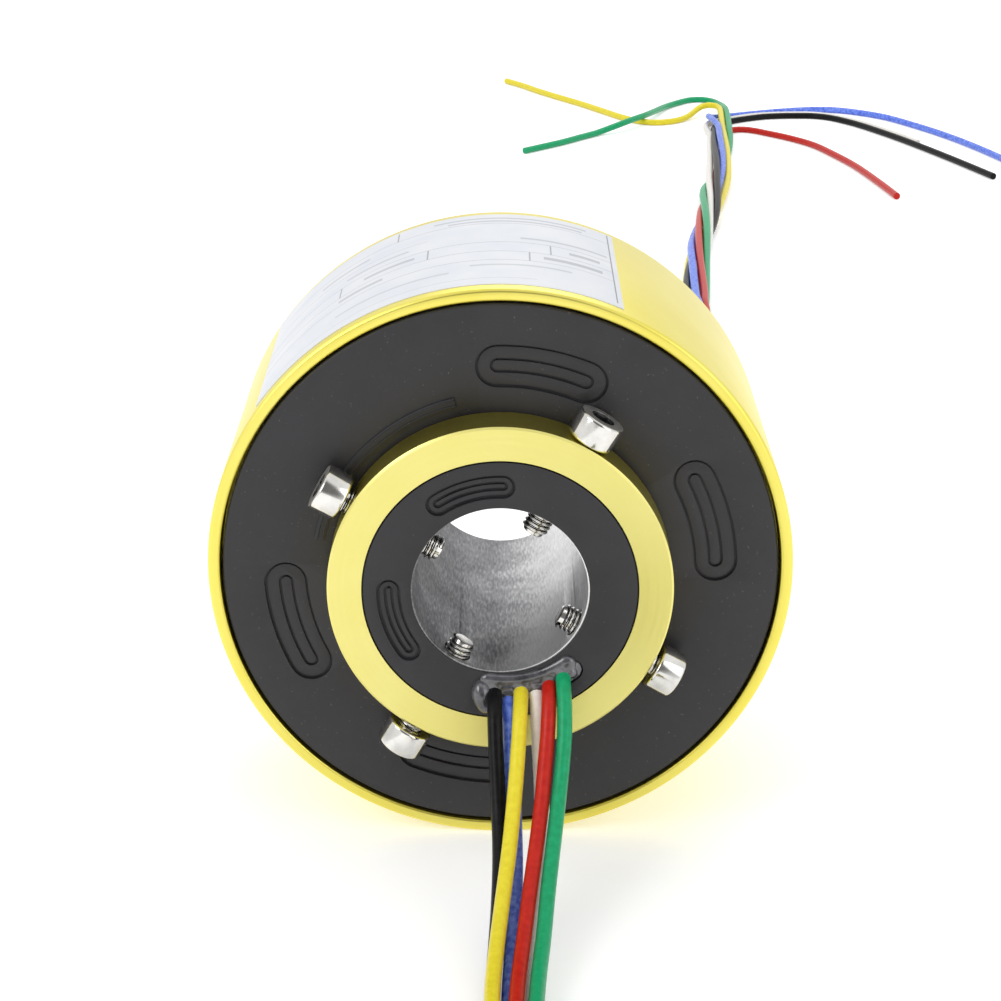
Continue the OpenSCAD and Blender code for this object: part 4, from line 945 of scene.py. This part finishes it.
def drop(x, z, up, wide, high, turn=0):
    """One drop of resin on the core's face: how far it stands up, how wide and how high it is."""
    fresh()
    bpy.ops.mesh.primitive_uv_sphere_add(segments=32, ring_count=16, radius=MM)
    piece = bpy.context.object
    piece.scale = (wide / 2, up, high / 2)
    piece.rotation_euler = (0, math.radians(turn), 0)
    piece.location = Vector((x, CORE_Y, z)) * MM
    bpy.ops.object.transform_apply(location=True, rotation=True, scale=True)
    return piece


# The potting fills its pocket, with a thin smear along the bore's lip, a foot round each lead, a small drop
# at its right end and an egg-shaped lump at its left.
drops = []
for k in range(16):
    spot = at(14.0 + 0.05 * k, -97 + 3.2 * k, 0)
    drops.append(drop(spot.x, spot.z, 0.8, 2.8, 2.4))
for route, _, _ in ROTOR_LEADS.values():
    x, _, z = route[0]
    drops.append(drop(x, z + 0.2, 1.0, 3.0, 2.8))
drops.append(drop(10.3, -12.6, 0.9, 2.0, 1.8))
fill = slot_bar("fill", **POCKET, half=23.9, width=3.4, y1=CORE_Y + 0.1, y2=CORE_Y + 2.1)
resin = join(fill, *drops)
resin.name = "epoxy_potting"
resin.data.remesh_voxel_size = 0.2 * MM
only(resin)
bpy.ops.object.voxel_remesh()
modify(resin, "SMOOTH", factor=0.6, iterations=20)
join(resin, drop(-2.5, -16.5, 2.0, 3.3, 5.4, -14))
settle(resin)
shade(resin, 180)
place(resin, RESIN, "rotor", "rotor_potting")


# ---- Pieces that keep their CAD shape ----

KEPT = {
    "retaining_ring": SPRING, "front_inner_race": RACE, "rear_inner_race": RACE, "front_outer_race": RACE,
    "rear_outer_race": RACE, "front_balls": BALL, "rear_balls": BALL, "front_cage": CAGE, "rear_cage": CAGE,
    "top_brush_block": BLOCK, "bottom_brush_block": BLOCK, "top_brush_wires": WIRE_GOLD,
    "bottom_brush_wires": WIRE_GOLD,
}
KEPT.update({"contact_ring_%d" % i: RING_GOLD for i in range(1, 7)})
KEPT.update({"insulator_%d" % i: INSULATOR for i in range(1, 8)})
for node, material in KEPT.items():
    nodes[node].data.materials.clear()
    nodes[node].data.materials.append(material)


# ---- Studio ----

def lamp(name, size, watts, spot, aim=(0, 0, 0)):
    """A round area lamp at a spot in metres, turned towards its aim."""
    light = bpy.data.lights.new(name, "AREA")
    light.shape = "DISK"
    light.size = size
    light.energy = watts
    piece = bpy.data.objects.new(name, light)
    piece.location = spot
    piece.rotation_euler = (Vector(spot) - Vector(aim)).to_track_quat("Z", "Y").to_euler()
    bpy.context.scene.collection.objects.link(piece)


def background_rays(tree):
    """1 for the rays that see the background: from the camera, and by way of metal, gloss or glass."""
    rays = add(tree, "LightPath").outputs
    seen = add(tree, "Math", (("operation", "MAXIMUM"),), (0, rays["Is Camera Ray"]),
               (1, rays["Is Glossy Ray"])).outputs[0]
    return add(tree, "Math", (("operation", "MAXIMUM"),), (0, seen),
               (1, rays["Is Transmission Ray"])).outputs[0]


lamp("key", 0.6, 2.7, (-0.69, -0.53, 0.6))
lamp("fill", 0.7, 1.3, (0.72, -0.6, 0.36))
lamp("back", 0.7, 2.2, (0.1, 0.7, 0.8), (0, 0.1, 0))

fresh()
bpy.ops.mesh.primitive_plane_add(size=8, location=(0, 0, FLOOR_Z * MM))
floor = bpy.context.object
floor.name = "floor"
sweep, tree, coords = finish("white paper sweep")
# The paper glows a little, and more away from the lamps' pool of light, so that it is white all the way back.
away = add(tree, "VectorMath", (("operation", "LENGTH"),), (0, coords)).outputs["Value"]
lift = add(tree, "MapRange", (("interpolation_type", "SMOOTHSTEP"), ("From Min", 0.4), ("From Max", 1.4),
                              ("To Min", 0.35), ("To Max", 0.42)), ("Value", away)).outputs[0]
glow = add(tree, "Math", (("operation", "MULTIPLY"),), (0, lift), (1, background_rays(tree))).outputs[0]
cover_with(tree, (("Base Color", linear("#F6F6F6")), ("Roughness", 0.9), ("Emission Color", (1, 1, 1, 1))),
           ("Emission Strength", glow))
floor.data.materials.append(sweep)

world = bpy.data.worlds.new("studio")
world.use_nodes = True
tree = world.node_tree
tree.nodes.clear()
# The room's white light: full where the background is seen, and softer where it lights the part.
seen = background_rays(tree)
level = add(tree, "MapRange", (("To Min", 0.74), ("To Max", 1.0)), ("Value", seen)).outputs[0]
# A dim patch high in front, between the lamps: polished metal shows it as its dark bands.
aim = add(tree, "TexCoord").outputs["Generated"]
facing = add(tree, "VectorMath", (("operation", "DOT_PRODUCT"), (1, (0, -0.86, 0.51))),
             (0, aim)).outputs["Value"]
dim = add(tree, "MapRange", (("interpolation_type", "SMOOTHSTEP"), ("From Min", 0.78), ("From Max", 0.93),
                             ("To Min", 1.0), ("To Max", 0.2)), ("Value", facing)).outputs[0]
gloss = add(tree, "LightPath").outputs["Is Glossy Ray"]
dim = add(tree, "Mix", (("data_type", "FLOAT"), (2, 1.0)), (0, gloss), (3, dim)).outputs[0]
level = add(tree, "Math", (("operation", "MULTIPLY"),), (0, level), (1, dim)).outputs[0]
sky = add(tree, "Background", (("Color", (1, 1, 1, 1)),), ("Strength", level))
add(tree, "OutputWorld", (), ("Surface", sky.outputs[0]))
bpy.context.scene.world = world
